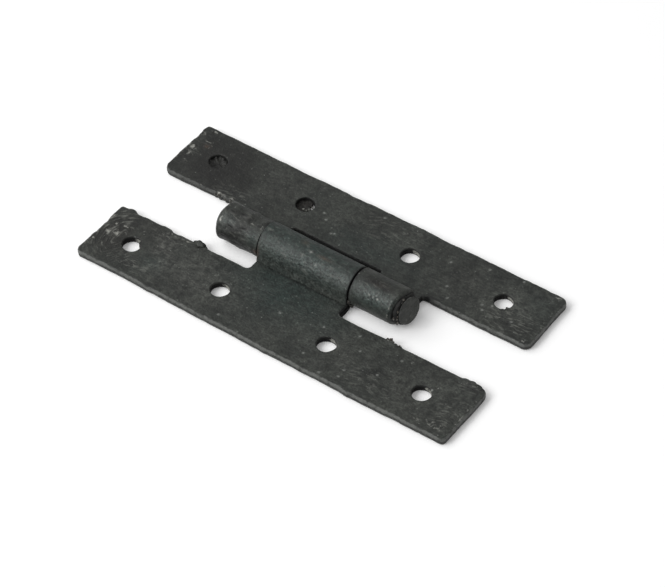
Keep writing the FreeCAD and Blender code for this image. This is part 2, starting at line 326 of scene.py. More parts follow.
def wear_outline(x, v, leaf):
    """Shift the sheet at each edge by that edge's wander and burrs, fading away from the edge."""
    old_x, old_v = x.copy(), v.copy()
    outer = wander(old_x, leaf.seed + OUTER_SEED) + bumps(old_x, leaf.outer_burrs)
    inner = wander(old_x, leaf.seed + INNER_SEED) + bumps(old_x, leaf.inner_burrs)
    v += edge_fade(old_v - STRIP_OUTER) * outer
    v -= edge_fade(old_v - STRIP_INNER) * inner
    v -= edge_fade(old_v - CURL_END) * wander(old_x, leaf.seed + CURL_SEED)
    for end in (-1, 1):
        uneven = wander(old_v, leaf.seed + END_SEED + end) + bumps(old_v, leaf.end_burrs.get(end, ()))
        x += end * edge_fade(old_x - end * LEAF_END) * uneven
    on_neck = NECK_WANDER * np.clip(STRIP_INNER + 1 - old_v, 0, 1)
    for start, end in leaf.necks:
        for side in {start, end} - leaf.straight:
            uneven = wander(old_v, leaf.seed + NECK_SEED + int(side))
            x += on_neck * edge_fade((old_x - side) / NECK_FADE) * uneven
    for side, burrs in leaf.neck_burrs:
        x += edge_fade((old_x - side) / BURR_FADE) * bumps(old_v, burrs)
    for side, reach, slant in leaf.slants:
        rise = np.maximum(np.sin(np.maximum(-old_v, 0) / MID_RADIUS), SLANT_FLOOR)
        x += np.clip(-old_v / 2, 0, 1) * (reach - slant * rise) * edge_fade((old_x - side) / SLANT_FADE)


print(f"a cut edge wanders by {np.ptp(wander(line, 1)):.2f} mm along a strip")

# %% [markdown]
# ## From blank to leaf
# A sheet of metal has two skins and an edge band. The skins draw together close to every edge, on a
# quarter circle, which is how a worn edge looks. For that each point needs its distance to the outline,
# and the same distance later tells the paint where the wax is rubbed through.

# %% Distance to the outline


def outline_edges(cells, count):
    """Directed sides of cells that no other cell shares: round the sheet, with the sheet on their left."""
    sides = np.concatenate([cells[:, [k, (k + 1) % 4]] for k in range(4)])
    forward = sides[:, 0] * count + sides[:, 1]
    backward = sides[:, 1] * count + sides[:, 0]
    return sides[~np.isin(forward, backward)]


def strip_outline(x, v, sides):
    """True for the sides on the outer edges of the strip, and false for those of holes, slots and necks."""
    middle_x, middle_v = x[sides].mean(1), v[sides].mean(1)
    on_end = abs(middle_x) > LEAF_END - 1e-6
    on_long_edge = abs(abs(middle_v - HOLE_LINE) - (STRIP_OUTER - HOLE_LINE)) < 1e-6
    return on_end | on_long_edge


def distance_to(points, starts, ends, batch=1200):
    """Shortest distance from each point to any of the segments, worked out a batch of points at a time."""
    run = ends - starts
    squared = (run**2).sum(1)
    nearest = []
    for first in range(0, len(points), batch):
        reach = points[first : first + batch, None] - starts
        share = np.clip((reach * run).sum(2) / squared, 0, 1)
        nearest.append(np.sqrt(((reach - share[..., None] * run) ** 2).sum(2).min(1)))
    return np.concatenate(nearest)


# %% [markdown]
# The neck is rolled: past v = 0 the sheet turns about the pin, so a place v becomes an angle, and the
# thickness becomes a smaller or larger radius. Seams, bores and the curl of the real barrel follow by
# themselves.

# %% Roll the necks
THREE_QUARTERS = 1.5 * math.pi
LIP_FLARE = 0.3  # of the rolled end, away from the pin


def roll(side, x, v, w):
    """Place in space of a sheet place (x, v) at height w over the middle of the sheet.

    Where v is positive the sheet is flat. Where it is negative the sheet has turned by -v over the middle
    radius, from the bottom of the barrel up its far side, and w points at the pin. After three quarters of
    a turn it runs straight down to the plate and flares a little.
    """
    turn = np.maximum(-v, 0) / MID_RADIUS
    past = np.maximum(turn - THREE_QUARTERS, 0) / (CURL_TURN - THREE_QUARTERS)
    turn = np.minimum(turn, THREE_QUARTERS)
    arm = MID_RADIUS - w
    y = side * (np.maximum(v, 0) - arm * np.sin(turn) + LIP_FLARE * past**2)
    z = BARREL_RADIUS - arm * np.cos(turn) - (BARREL_RADIUS - THICKNESS - SEAM_HEIGHT) * past
    return np.stack([x, y, z], axis=-1)


print("top of the rolled sheet:", np.round(roll(FAR, 0.0, -math.pi * MID_RADIUS, -THICKNESS / 2), 2), "mm")

# %% [markdown]
# The skins carry the hammer marks. On a neck the bottom skin becomes the outside of the barrel, so the
# slope that was filed on the barrel's ends is taken from the bottom skin too. The band between the skins
# bulges a little, as a sheared edge does after some hammering.

# %% Skins and edge band
EDGE_ROUND, ROUND_UNEVEN = 0.22, 0.25  # radius of a worn edge, and the share by which it changes
ROUND_LIMITS = (0.12, 0.5)
NECK_ROUND = 0.13
SMEAR_FILL = 0.95  # share of an edge's rounding that smeared wax fills
BEVEL, BEVEL_ROOT = 0.5, 1.5  # slope filed on the barrel's ends, and the length of its fade at the root
BAND_ROWS = 5
BAND_BULGE, BAND_UNEVEN, BAND_WAVE = 0.05, 0.02, 1.1
SKIN_WAVE = 5  # wavelength of what is soft on a skin
ROUND_SEED, BAND_SEED = 60, 70  # added to a leaf's seed


def skin_height(edge, radius):
    """Half thickness at a distance from the edge: a quarter circle up to the radius, then level."""
    inside = np.clip(radius - edge, 0, radius)
    return THICKNESS / 2 - radius + np.sqrt(np.maximum(radius**2 - inside**2, 0))


def bevel_depth(x, v, leaf):
    """Depth of the slope on the barrel's ends: it grows evenly towards the end, and fades at the root."""
    depth = np.zeros_like(x)
    for end, out in leaf.bevels:
        depth += np.clip(BEVEL - out * (end - x), 0, BEVEL)
    return depth * np.clip(-v / BEVEL_ROOT, 0, 1)


def skins(x, v, leaf, edge, smeared, bevel):
    """Heights of both skins over the middle of the sheet, with rounded edges, blows and lumps."""
    radius = EDGE_ROUND * (1 + ROUND_UNEVEN * ripple(x, v, SKIN_WAVE, leaf.seed + ROUND_SEED))
    radius = np.clip(radius, *ROUND_LIMITS)
    radius += (NECK_ROUND - radius) * np.clip(STRIP_INNER - v, 0, 1)
    radius *= 1 - SMEAR_FILL * smeared
    inside = np.clip(edge, 0, 1)
    half = skin_height(edge, radius)
    top = half + leaf.top_relief(x, v) * inside + spots(x, v, leaf.lumps)
    bottom = bevel - half - leaf.bottom_relief(x, v) * inside - spots(x, v, leaf.ridges)
    return top, bottom


def edge_band(flat, top, bottom, leaf, sides):
    """The outline's points, the rows of points between the skins there, and the faces between all rows."""
    count = len(flat)
    tangent = flat[sides[:, 1]] - flat[sides[:, 0]]
    tangent /= np.linalg.norm(tangent, axis=1, keepdims=True)
    outward = np.zeros((count, 2))
    for end in (0, 1):
        np.add.at(outward, sides[:, end], np.stack([tangent[:, 1], -tangent[:, 0]], axis=1))
    rim, order = np.unique(sides, return_inverse=True)
    outward = outward[rim] / np.maximum(np.linalg.norm(outward[rim], axis=1, keepdims=True), 0.5)
    x, v = flat[rim].T
    rows, loops = [], [rim]
    for row in range(1, BAND_ROWS):
        level = 1 - 2 * row / BAND_ROWS
        height = top[rim] + (bottom[rim] - top[rim]) * row / BAND_ROWS
        uneven = ripple(x + 3 * row, v, BAND_WAVE, leaf.seed + BAND_SEED + row)
        bulge = BAND_BULGE * (1 - level**2) + BAND_UNEVEN * uneven
        rows.append(np.column_stack([flat[rim] + bulge[:, None] * outward, height]))
        loops.append(2 * count + (row - 1) * len(rim) + np.arange(len(rim)))
    loops.append(count + rim)
    first, last = order.reshape(-1, 2).T
    faces = [
        np.stack([upper[last], upper[first], lower[first], lower[last]], axis=1)
        for upper, lower in zip(loops, loops[1:])
    ]
    return rim, rows, faces


print(f"half of the sheet: {skin_height(0.0, EDGE_ROUND):.2f} mm at an edge, {THICKNESS / 2:.2f} mm inside")

# %% [markdown]
# ## Paint values on the points
# A material can only know where a mark lies if the mesh tells it, so each point carries a few numbers.
# Three are worked out: *rubbed* is the distance to the strip's outer edge, another is painted shade, with
# some dirt, on the walls of holes, slots and necks and just beside them, and *brush* is the distance across
# the strokes of the wax brush. The others are lists of spots: *bright* scuffs and painted highlights, *rust*,
# *pale* wax and some painted light, dirt and painted shade, *crease* for deep strokes, *brown* and *teal*
# tints, smoother wax with a painted highlight, and dust *specks*. The walls of the open holes are painted
# light on their right side, the side that the lamps light, and dark on the left side.

# %% Paint of a leaf
LIT_WALL_WAY = (0.81, 0.58)  # the way from a hole's middle to the side of its wall that is painted light, along X and Y
LIT_WALL_SHARP, LIT_WALL_GAIN = 1.8, 1.2  # how fast a wall turns to painted light, and how light it gets
HOLE_REACH = 1.3  # in hole radii, what belongs to a hole's wall
HOLLOW_SHADE_STRENGTH, HOLLOW_SHADE_WIDTH = 0.6, 0.12  # of the painted shade beside holes, slots and necks
RUBBED_STEP, HOLLOW_SHADE_STEP, BRUSH_STEP = 0.16, 0.2, 0.3  # from one row of the edge band to the next


def lit_walls(x, v, leaf):
    """Share of painted light on the walls of the open holes: it grows towards the side of each hole that the lamps
    light.
    """
    share = np.zeros_like(x)
    for place in np.delete(HOLE_PLACES, leaf.filled):
        a, b = (x - place) / HOLE_RADIUS, leaf.side * (v - HOLE_LINE) / HOLE_RADIUS
        lit_side = np.clip(LIT_WALL_SHARP * (LIT_WALL_WAY[0] * a + LIT_WALL_WAY[1] * b), 0, 1)
        share = np.where(np.hypot(a, b) < HOLE_REACH, lit_side, share)
    return share


def over_all(on_skin, on_band, deeper=0.0):
    """A value for all points: both skins, then the rows of the band, each a step deeper than the last."""
    return np.concatenate([on_skin, on_skin, *(on_band + row * deeper for row in range(BAND_ROWS - 1))])


def leaf_paint(sheet, rim, leaf, rubbed, sheltered, smeared):
    """Paint values of a leaf's points, from their places on the sheet and distances to its outline."""
    count = len(rubbed)
    x, v = sheet[:count, 0], sheet[:count, 1]
    # painted shade, with some dirt, on the walls of holes, slots and necks and just beside them
    shade_by_hollows = HOLLOW_SHADE_STRENGTH * np.exp(-((sheltered / HOLLOW_SHADE_WIDTH) ** 2)) * (1 - smeared)
    in_shaded_wall = np.where(sheltered[rim] < rubbed[rim], 1.0, 0.0)
    brush = leaf.brush(x, v)
    paint = {
        "rubbed": over_all(rubbed, rubbed[rim], RUBBED_STEP),
        "pit": over_all(shade_by_hollows, in_shaded_wall, HOLLOW_SHADE_STEP),
        "brush": over_all(brush, brush[rim], BRUSH_STEP),
    }
    skin = np.repeat([1, -1, 0], [count, count, len(sheet) - 2 * count])
    shown = np.where(sheet[:, 1] < 0, skin < 1, skin > -1).astype(float)
    for key, marks in leaf.marks.items():
        paint[key] = shown * spots(sheet[:, 0], sheet[:, 1], marks)
    # painted light on the lit side of each open hole's wall, laid on through the bright scuffs
    lit_side = LIT_WALL_GAIN * lit_walls(x[rim], v[rim], leaf)
    paint["bright"] = np.maximum(paint["bright"], over_all(np.zeros(count), lit_side))
    return paint


# %% Put a leaf together


def leaf_mesh(leaf):
    """Points, faces and paint of a leaf: both skins of the worn blank, the band round its edges, rolled."""
    x, v, cells = blank_grid(leaf)
    sides = outline_edges(cells, len(x))
    on_strip = strip_outline(x, v, sides)
    bevel = bevel_depth(x, v, leaf)
    round_holes(x, v, leaf)
    for (end, edge), radius in leaf.corners.items():
        round_corner(x, v, end, edge, radius)
    for root in leaf.roots:
        fill_root(x, v, *root)
    wear_outline(x, v, leaf)

    flat = np.stack([x, v], axis=1)
    rubbed = distance_to(flat, *flat[sides[on_strip].T])
    sheltered = distance_to(flat, *flat[sides[~on_strip].T])
    smeared = spots(x, v, leaf.smears)
    top, bottom = skins(x, v, leaf, np.minimum(rubbed, sheltered), smeared, bevel)
    rim, band, band_faces = edge_band(flat, top, bottom, leaf, sides)
    sheet = np.concatenate([np.column_stack([flat, top]), np.column_stack([flat, bottom]), *band])
    points = roll(leaf.side, *sheet.T)
    points[:, 2] = np.maximum(points[:, 2], 0)
    faces = np.concatenate([cells, cells[:, ::-1] + len(x), *band_faces])
    faces = faces if leaf.side == FAR else faces[:, ::-1]
    return points, faces.tolist(), leaf_paint(sheet, rim, leaf, rubbed, sheltered, smeared)


# %% [markdown]
# ## The two leaves
# The near leaf has one neck for the middle knuckle. The far leaf has two necks, and a slot between them
# that is cut a little into its strip so that the middle knuckle can turn. The burrs, bad corners and
# teeth in holes are placed as on the real hinge: a lump half way along the near leaf's inner edge, a torn
# edge further right, a folded corner at its end.

# %% Knuckles, hammering and brushing
half_centre = CENTRE_KNUCKLE / 2
half_gap = half_centre + END_PLAY
half_barrel = half_gap + END_KNUCKLE
slid = -0.11  # the middle knuckle lies close to the left one
centre_span = (BARREL_MIDDLE - half_centre + slid, BARREL_MIDDLE + half_centre + slid)
left_span = (BARREL_MIDDLE - half_barrel, BARREL_MIDDLE - half_gap)
right_span = (BARREL_MIDDLE + half_gap, BARREL_MIDDLE + half_barrel)
slot_floor = STRIP_INNER + SLOT_RELIEF
MEAN_BLOW = 0.3  # mean height of the blows, taken off so that the skin keeps its level
STROKE_WOBBLE, STROKE_WAVE = 0.25, 9
NEAR_LEAN, FAR_LEAN, BEATEN_LEAN = 0.1, -0.06, 0.1  # of the strokes, from the way of the pin
ARCS_END, ALONG_START = -37, -32  # where the strokes round the near leaf's left hole turn to run along
BEATEN_END = -12  # right end of the beaten knuckle


def hammered(x, v, seed, soft, spacing, depth):
    """Height of a hammered skin: a soft ripple, and blows a spacing apart."""
    return soft * ripple(x, v, SKIN_WAVE, seed) + depth * (blows(x, v, spacing, seed + 1) - MEAN_BLOW)


def far_back(x, v):
    """Back of the far leaf and outside of its knuckles. The left knuckle was beaten hardest."""
    beaten = np.clip(-v / 2, 0, 1) * (x < BARREL_MIDDLE)
    even = hammered(x, v, seed=233, soft=0.02, spacing=3.4, depth=0.06)
    return even + beaten * hammered(x, v, seed=235, soft=0.03, spacing=2.7, depth=0.5)


def near_brush(x, v):
    """Distance across the strokes, which ran round the left hole and along the rest of the leaf."""
    arcs = np.hypot(x - HOLE_PLACES[0], v - HOLE_LINE)
    along = v + NEAR_LEAN * x + STROKE_WOBBLE * ripple(x, v, STROKE_WAVE, 141)
    return arcs + (along - arcs) * np.clip((x - ARCS_END) / (ALONG_START - ARCS_END), 0, 1)


def far_brush(x, v):
    """Distance across the strokes: along the leaf, and aslant on the beaten left knuckle."""
    aslant = BEATEN_LEAN * np.clip(-v / 2, 0, 1) * np.clip(BEATEN_END - x, 0, None)
    return v + FAR_LEAN * x + aslant + STROKE_WOBBLE * ripple(x, v, STROKE_WAVE, 241)


for span in (left_span, centre_span, right_span):
    print(f"knuckle from x {span[0]:.2f} to {span[1]:.2f} mm")

# %% Describe the near leaf
near_leaf = SimpleNamespace(
    side=NEAR,
    seed=100,
    necks=[centre_span],
    slots=[],
    straight={centre_span[0]},
    bevels=[],
    slants=[],
    filled=[],
    brush=near_brush,
    top_relief=lambda x, v: hammered(x, v, seed=131, soft=0.02, spacing=6.5, depth=0.05),
    bottom_relief=lambda x, v: hammered(x, v, seed=133, soft=0.02, spacing=4.5, depth=0.05),
    roots=[(centre_span[0], STRIP_INNER, -1, 1.0), (centre_span[1], STRIP_INNER, 1, 0.7)],
    corners={(-1, 1): 1.2, (-1, -1): 0.6, (1, 1): 0.9, (1, -1): 1.1},
    torn=[(18.8, 23.2), (-24.2, -21.6)],
    teeth={0: [(-0.35, 0.14, 0.35), (-0.8, 0.16, 0.5)]},
    inner_burrs=[
        (-38.9, 0.8, 0.35), (-36.9, 0.9, -0.15), (-30.8, 1.2, 0.22), (-28.4, 0.9, -0.22), (-22.9, 1.3, 0.3),
        (19.6, 0.2, 0.4), (20.2, 0.16, 0.6), (20.8, 0.18, 0.45), (21.6, 0.35, 0.22), (22.5, 0.4, 0.25),
        (36.9, 0.7, 0.35), (38.2, 0.6, 0.55), (39.5, 0.7, 0.4),
    ],
    outer_burrs=[
        (-24.5, 1.0, 0.1), (2.0, 0.8, 0.12), (20.5, 0.7, 0.14), (31.0, 1.2, -0.1), (9.0, 30.0, 0.2),
    ],
    end_burrs={
        -1: [(11.5, 0.5, -0.14), (9.6, 0.8, 0.12), (15.5, 0.6, 0.12)],
        1: [(13.6, 10.0, -0.15), (13.6, 5.0, 0.1)],
    },
    neck_burrs=[(centre_span[0], [(-9.6, 2.3, -0.125)])],
    smears=[(centre_span[0], -9.3, 0.8, 2.1, 1.0)],
    lumps=[(-39.0, 6.6, 0.8, 0.7, 0.2), (38.2, 6.9, 1.9, 0.6, 0.35), (20.4, 6.6, 1.0, 0.4, 0.25)],
    ridges=[(-1.0, -11.2, 9.0, 0.5, 0.03), (3.0, -13.0, 5.0, 0.4, 0.03), (-6.0, -12.5, 4.0, 0.5, 0.03)],
)

# %% Describe the far leaf
far_leaf = SimpleNamespace(
    side=FAR,
    seed=200,
    necks=[left_span, right_span],
    slots=[(left_span[1], right_span[0])],
    straight={left_span[1]},
    bevels=[(left_span[0], -1), (right_span[1], 1)],
    slants=[(right_span[1], 0.1, 0.65)],
    filled=[0, 1],
    brush=far_brush,
    top_relief=lambda x, v: hammered(x, v, seed=231, soft=0.02, spacing=6.5, depth=0.05),
    bottom_relief=far_back,
    roots=[
        (left_span[0], STRIP_INNER, -1, 1.0), (left_span[1], slot_floor, 1, 2.0),
        (right_span[0], slot_floor, -1, 0.3), (right_span[1], STRIP_INNER, 1, 0.5),
    ],
    corners={(-1, 1): 0.7, (-1, -1): 1.5, (1, 1): 1.4, (1, -1): 1.4},
    torn=[(-30.0, -25.0)],
    teeth={3: [(-0.63, 0.16, 0.5), (-1.1, 0.12, 0.15)]},
    inner_burrs=[
        (-29.0, 0.3, 0.14), (-27.9, 0.4, 0.2), (-26.4, 0.35, 0.18), (-25.4, 0.25, 0.22), (-35.0, 6.0, 0.25),
        (30.0, 9.0, 0.12),
    ],
    outer_burrs=[(-2.0, 1.0, 0.08), (18.0, 0.8, 0.12), (24.0, 1.0, -0.1), (33.0, 0.6, 0.1)],
    end_burrs={-1: [(17.0, 0.7, -0.18), (19.3, 0.5, 0.12)], 1: [(19.0, 0.8, 0.12), (13.0, 5.0, 0.14)]},
    neck_burrs=[],
    smears=[(left_span[1], -9.5, 0.8, 2.1, 1.0)],
    lumps=[(-27.5, 6.7, 1.6, 0.3, 0.12), (-40.6, 14.6, 0.5, 0.7, 0.12), (-38.0, 16.6, 0.9, 0.3, 0.1)],
    ridges=[
        (-19.5, -6.7, 1.6, 0.4, 0.14), (-17.0, -7.9, 2.2, 0.35, 0.1), (-14.2, -6.6, 1.5, 0.5, 0.1),
        (-20.2, -8.3, 0.8, 0.9, 0.12), (-15.0, -9.3, 2.5, 0.4, 0.08), (14.5, -7.4, 3.0, 0.5, 0.03),
    ],
)

# %% [markdown]
# The spots of paint follow the real hinge: scuffs and pale wax at the ends and on the torn edges, brown
# wax at the far leaf's left end, dirt in the joints. Some spots are painted light and shade instead: a
# highlight along the barrel, light on facets, and shade in creases, in corners and on the lower side of
# the left knuckle. Each spot is a place (x, v), two half sizes and a strength.

# %% Marks on the near leaf
SPECK_SIZE, SPECK_STRENGTH = 0.19, 0.7


def specks(*places):
    """Small round spots of dust, from (x, v)."""
    return [(x, v, SPECK_SIZE, SPECK_SIZE, SPECK_STRENGTH) for x, v in places]


near_leaf.marks = {
    "bright": [
        (-40.8, 16.7, 0.5, 1.6, 0.9), (-41.0, 9.6, 0.6, 1.5, 0.9), (-39.5, 13.5, 1.0, 0.7, 1.0),
        (-37.6, 12.9, 0.9, 1.2, 0.9), (-37.3, 10.6, 1.6, 0.35, 0.9), (-39.4, 11.2, 0.4, 1.3, 0.9),
        (-29.6, 7.3, 1.6, 0.3, 0.9), (-25.2, 7.2, 1.4, 0.3, 0.9), (37.0, 18.6, 1.6, 0.8, 0.9),
        (39.2, 18.6, 0.9, 0.8, 0.9), (34.5, 19.3, 1.0, 0.4, 0.8), (-41.2, 13.5, 0.22, 7.0, 0.8),
        (-34.0, 18.7, 1.6, 0.4, 0.7), (-30.5, 17.9, 2.0, 0.4, 0.6), (33.9, 11.0, 0.6, 0.4, 0.9),
        (38.5, 19.2, 1.0, 0.6, 1.0), (36.4, 18.8, 0.8, 0.5, 0.8), (40.9, 14.0, 0.35, 6.0, 0.7),
        (26.7, 8.8, 0.5, 0.5, 0.8), (39.0, 7.0, 1.8, 0.5, 0.7), (20.2, 6.6, 1.0, 0.4, 0.8),
        # painted highlights: flecks along the middle knuckle's gleam at v -11.9, and a thin light line where the
        # rolled lip catches the light
        (-8.6, -11.9, 2.0, 0.5, 0.4), (7.0, -12.0, 1.2, 0.7, 0.4), (3.0, -15.85, 6.0, 0.12, 0.5),
        (0.0, -11.9, 6.0, 0.4, 0.4),
    ],
    "rust": [(1.8, -10.1, 1.6, 0.25, 0.8), (-3.5, -9.0, 0.8, 0.5, 0.5), (-11.6, -14.0, 0.35, 1.2, 0.9)],
    "pale": [
        (-27.9, 10.6, 2.0, 2.5, 1.0), (-25.2, 14.5, 2.2, 3.5, 0.8), (-29.5, 9.0, 1.5, 1.5, 0.6),
        (-39.0, 12.5, 1.6, 4.0, 0.4), (33.0, 13.0, 8.0, 6.0, 0.25), (-1.2, -10.1, 0.35, 0.3, 1.0),
        # the long spot at x -1.4, v -14.9 is painted light on the lower front of the middle knuckle
        (-17.0, 13.0, 8.0, 6.0, 0.55), (-1.4, -14.9, 12.0, 2.0, 0.45), (14.0, 13.0, 9.0, 6.0, 0.25),
    ],
    "dirt": [
        # dirt in the joints and along the seam under the barrel; the spot at x 8.6, v 5.0 is painted shade beside
        # the neck's right side
        (8.65, -9.0, 0.14, 9.0, 0.7), (-11.7, -14.0, 0.1, 3.0, 0.6), (0.0, 4.1, 9.5, 0.12, 0.8),
        (8.6, 5.0, 0.3, 1.8, 0.8), (-22.9, 7.4, 1.5, 0.2, 0.8), (38.4, 7.9, 1.7, 0.2, 0.8),
        (40.3, 9.2, 0.2, 1.1, 0.7),
    ],
    "crease": [
        (-38.8, 12.0, 2.8, 6.5, 1.0), (-31.0, 17.3, 5.0, 2.0, 0.8), (-28.0, 8.0, 4.0, 1.5, 0.8),
        (38.0, 7.5, 2.5, 1.2, 0.8), (-10.5, -9.6, 1.2, 2.0, 0.6), (38.5, 15.0, 3.0, 5.0, 0.6),
        (-1.5, -11.5, 10.0, 3.5, 0.45), (22.0, 17.0, 9.0, 4.0, 0.4),
    ],
    "brown": [(-38.0, 13.0, 5.0, 7.0, 1.0), (-33.0, 9.0, 5.0, 4.0, 0.6), (30.0, 9.0, 6.0, 4.0, 0.3)],
    "teal": [(-1.0, 7.0, 12.0, 6.0, 1.0), (-27.0, 15.5, 2.5, 2.0, 0.6), (-1.4, -10.0, 14.0, 9.0, 1.0)],
    # painted highlight along the middle knuckle's gleam, where the wax is also smoother
    "satin": [(-1.4, -12.0, 14.0, 1.2, 0.8), (-1.4, -13.6, 14.0, 1.8, 0.3), (7.0, -12.0, 2.5, 1.1, 1.0)],
    "speck": specks(
        (-0.3, 12.2), (8.4, 10.5), (-9.4, 18.9), (9.0, 17.8), (14.0, 20.0), (17.4, 17.0), (17.4, 18.8),
        (15.1, 8.6), (17.2, 11.6), (23.0, 14.6), (24.8, 9.3), (33.1, 12.0), (-1.2, -10.1), (0.9, -11.6),
    ),
}

# %% Marks on the far leaf
far_leaf.marks = {
    "bright": [
        (-40.3, 14.3, 0.9, 1.0, 1.0), (-40.7, 18.2, 0.6, 0.9, 1.1), (-39.8, 12.5, 1.0, 0.7, 0.8),
        (-38.6, 16.8, 1.2, 0.3, 1.15), (-37.4, 15.9, 0.3, 0.7, 1.15), (-38.9, 19.9, 1.0, 0.4, 1.0),
        (-39.6, 10.6, 1.0, 0.8, 0.6), (-41.2, 13.0, 0.22, 6.5, 0.8), (-27.9, 6.6, 1.4, 0.35, 1.0),
        (-25.3, 6.7, 0.8, 0.35, 0.9), (-33.5, 6.6, 5.0, 0.2, 0.6), (33.4, 9.6, 0.9, 0.7, 0.7),
        (41.0, 13.0, 0.35, 6.0, 0.7), (40.0, 19.8, 1.2, 0.7, 0.9), (40.2, 7.2, 1.0, 0.5, 0.7),
        # beside a worn rim of the right knuckle: painted highlights along the right knuckle's gleam and on the
        # ridges of the beaten left knuckle
        (17.7, -6.5, 0.25, 2.6, 0.9), (-20.8, -7.1, 0.35, 0.9, 0.9), (-18.6, -6.0, 1.2, 0.2, 0.6),
        (14.0, -7.0, 4.0, 0.6, 0.6), (-14.4, -8.5, 1.0, 0.22, 1.0), (-12.5, -8.7, 0.4, 0.5, 0.9),
        (-19.0, -8.4, 1.4, 0.2, 0.9), (-17.8, -6.3, 1.4, 0.2, 0.9),
    ],
    "rust": [(-38.0, 15.7, 0.7, 0.5, 1.0), (-12.2, -4.4, 0.5, 0.5, 0.9), (14.0, -8.8, 2.6, 0.5, 0.2)],
    "pale": [
        # the spots at v -7.2 and -6.5 are painted light on facets of the beaten left knuckle
        (-18.9, 14.5, 4.0, 4.0, 0.2), (34.0, 14.0, 6.0, 6.0, 0.35), (-20.3, -7.2, 0.9, 1.3, 0.9),
        (-17.5, -6.5, 1.5, 0.4, 0.6), (26.0, 12.0, 9.0, 6.0, 0.25),
    ],
    "dirt": [
        # dirt in the joints and at the far-left end, and scale on the right knuckle; the rest is painted shade:
        # thin lines in the left knuckle's creases, a band along its lower side, and a patch on the strip's inner
        # face beside the right neck
        (9.2, -8.0, 0.12, 9.0, 0.6), (-11.9, -4.5, 0.1, 3.0, 0.6), (-18.0, -6.4, 1.6, 0.15, 0.7),
        (-33.0, 12.0, 9.0, 9.0, 0.58), (-22.0, 13.0, 7.0, 7.0, 0.2), (-19.4, -9.0, 1.2, 0.26, 1.0),
        (-17.4, -9.45, 1.3, 0.24, 1.0), (-18.5, -6.75, 1.2, 0.24, 1.0), (-19.5, -4.6, 1.4, 0.35, 0.9),
        (-17.0, -4.0, 2.0, 0.4, 0.9), (-14.5, -4.0, 2.0, 0.4, 0.8), (-17.2, -5.9, 0.35, 0.5, 0.8),
        (-16.4, -5.2, 0.35, 0.5, 0.8), (-15.8, -7.3, 1.2, 0.2, 0.9), (-12.05, -9.8, 0.18, 1.2, 0.9),
        (-17.0, -4.9, 3.5, 0.5, 0.7), (19.8, 6.4, 1.2, 0.5, 1.0), (12.6, -8.9, 1.5, 0.45, 0.8),
        (15.4, -8.7, 1.3, 0.45, 0.7), (-19.0, -7.9, 1.2, 0.2, 0.8), (-17.3, -6.1, 1.8, 0.2, 0.8),
        (-16.5, -9.0, 2.0, 0.2, 0.7), (-15.0, -7.6, 1.5, 0.18, 0.7), (-13.0, -8.6, 0.9, 0.2, 0.7),
    ],
    "crease": [
        (-17.0, -7.5, 5.0, 4.0, 0.55), (-39.0, 14.0, 2.5, 5.0, 0.35), (36.0, 10.0, 6.0, 4.0, 0.7),
        (14.0, -8.6, 4.0, 1.2, 0.6), (-26.0, 8.0, 4.0, 2.0, 0.7), (5.0, 17.0, 9.0, 4.0, 0.4),
    ],
    "brown": [
        (-33.0, 12.0, 9.0, 9.0, 1.0), (-26.0, 10.0, 3.0, 4.0, 0.6), (2.0, 18.0, 6.0, 3.0, 0.4),
        (14.0, -9.2, 3.5, 0.9, 0.9), (-16.5, -7.0, 3.5, 4.0, 0.6),
    ],
    "teal": [
        (14.0, -6.5, 5.0, 2.0, 0.9), (-19.5, -7.2, 1.5, 1.2, 0.8), (-13.2, -6.6, 1.4, 1.2, 0.8),
        (4.0, 10.0, 9.0, 3.5, 0.5), (38.0, 16.0, 4.0, 4.0, 0.3),
    ],
    # painted highlight along the gleam of the outer knuckles, where the wax is also smoother
    "satin": [(14.0, -6.9, 5.5, 1.0, 1.0), (-14.0, -6.8, 2.0, 0.9, 0.6), (-19.5, -7.4, 1.4, 0.7, 0.9)],
    "speck": specks(
        (-8.6, 13.7), (-7.3, 12.4), (-3.8, 10.2), (-4.4, 9.9), (1.7, 19.1), (18.4, 16.5), (21.2, 10.9),
        (22.9, 8.4), (25.5, 18.9), (29.8, 9.5), (29.1, 10.6), (30.8, 11.4), (35.8, 10.0), (32.4, 19.9),
    ),
}
print("marks:", [sum(map(len, leaf.marks.values())) for leaf in (near_leaf, far_leaf)])

# %% [markdown]
# ## Waxed steel
# Blackened steel under wax is not one colour. Slow clouds of greener and browner black lie under a fine
# grain. The wax is rubbed off the edges and scuffed in places, where the steel shows grey, and dust
# sticks to it. Each of these effects is a node group, so that the leaves, the pin and the wax can each
# use it with values of their own.

# %% Node helpers


def add(tree, kind, inputs=None, **settings):
    """Add a node. Each input is wired if it is given a socket, and set if it is given a value."""
    made = tree.nodes.new(kind)
    for key, value in settings.items():
        setattr(made, key, value)
    for key, value in (inputs or {}).items():
        if isinstance(value, bpy.types.NodeSocket):
            tree.links.new(value, made.inputs[key])
        else:
            made.inputs[key].default_value = value
    return made


def math_node(tree, operation, *values):
    return add(tree, "ShaderNodeMath", dict(enumerate(values)), operation=operation).outputs[0]


def remap(tree, value, low, high, to_low=0.0, to_high=1.0):
    """Stretch a value from low and high to two new ends, held at the ends."""
    ends = {"Value": value, "From Min": low, "From Max": high, "To Min": to_low, "To Max": to_high}
    return add(tree, "ShaderNodeMapRange", ends).outputs[0]


def blend_colour(tree, share, first, second, how="MIX"):
    """Blend two colours. A mix node numbers its sockets: 0 is the share, 6 and 7 are the colours."""
    inputs = {0: share, 6: first, 7: second}
    return add(tree, "ShaderNodeMix", inputs, data_type="RGBA", blend_type=how).outputs[2]


def noise(tree, vector, scale, detail):
    return add(tree, "ShaderNodeTexNoise", {"Vector": vector, "Scale": scale, "Detail": detail}).outputs[0]


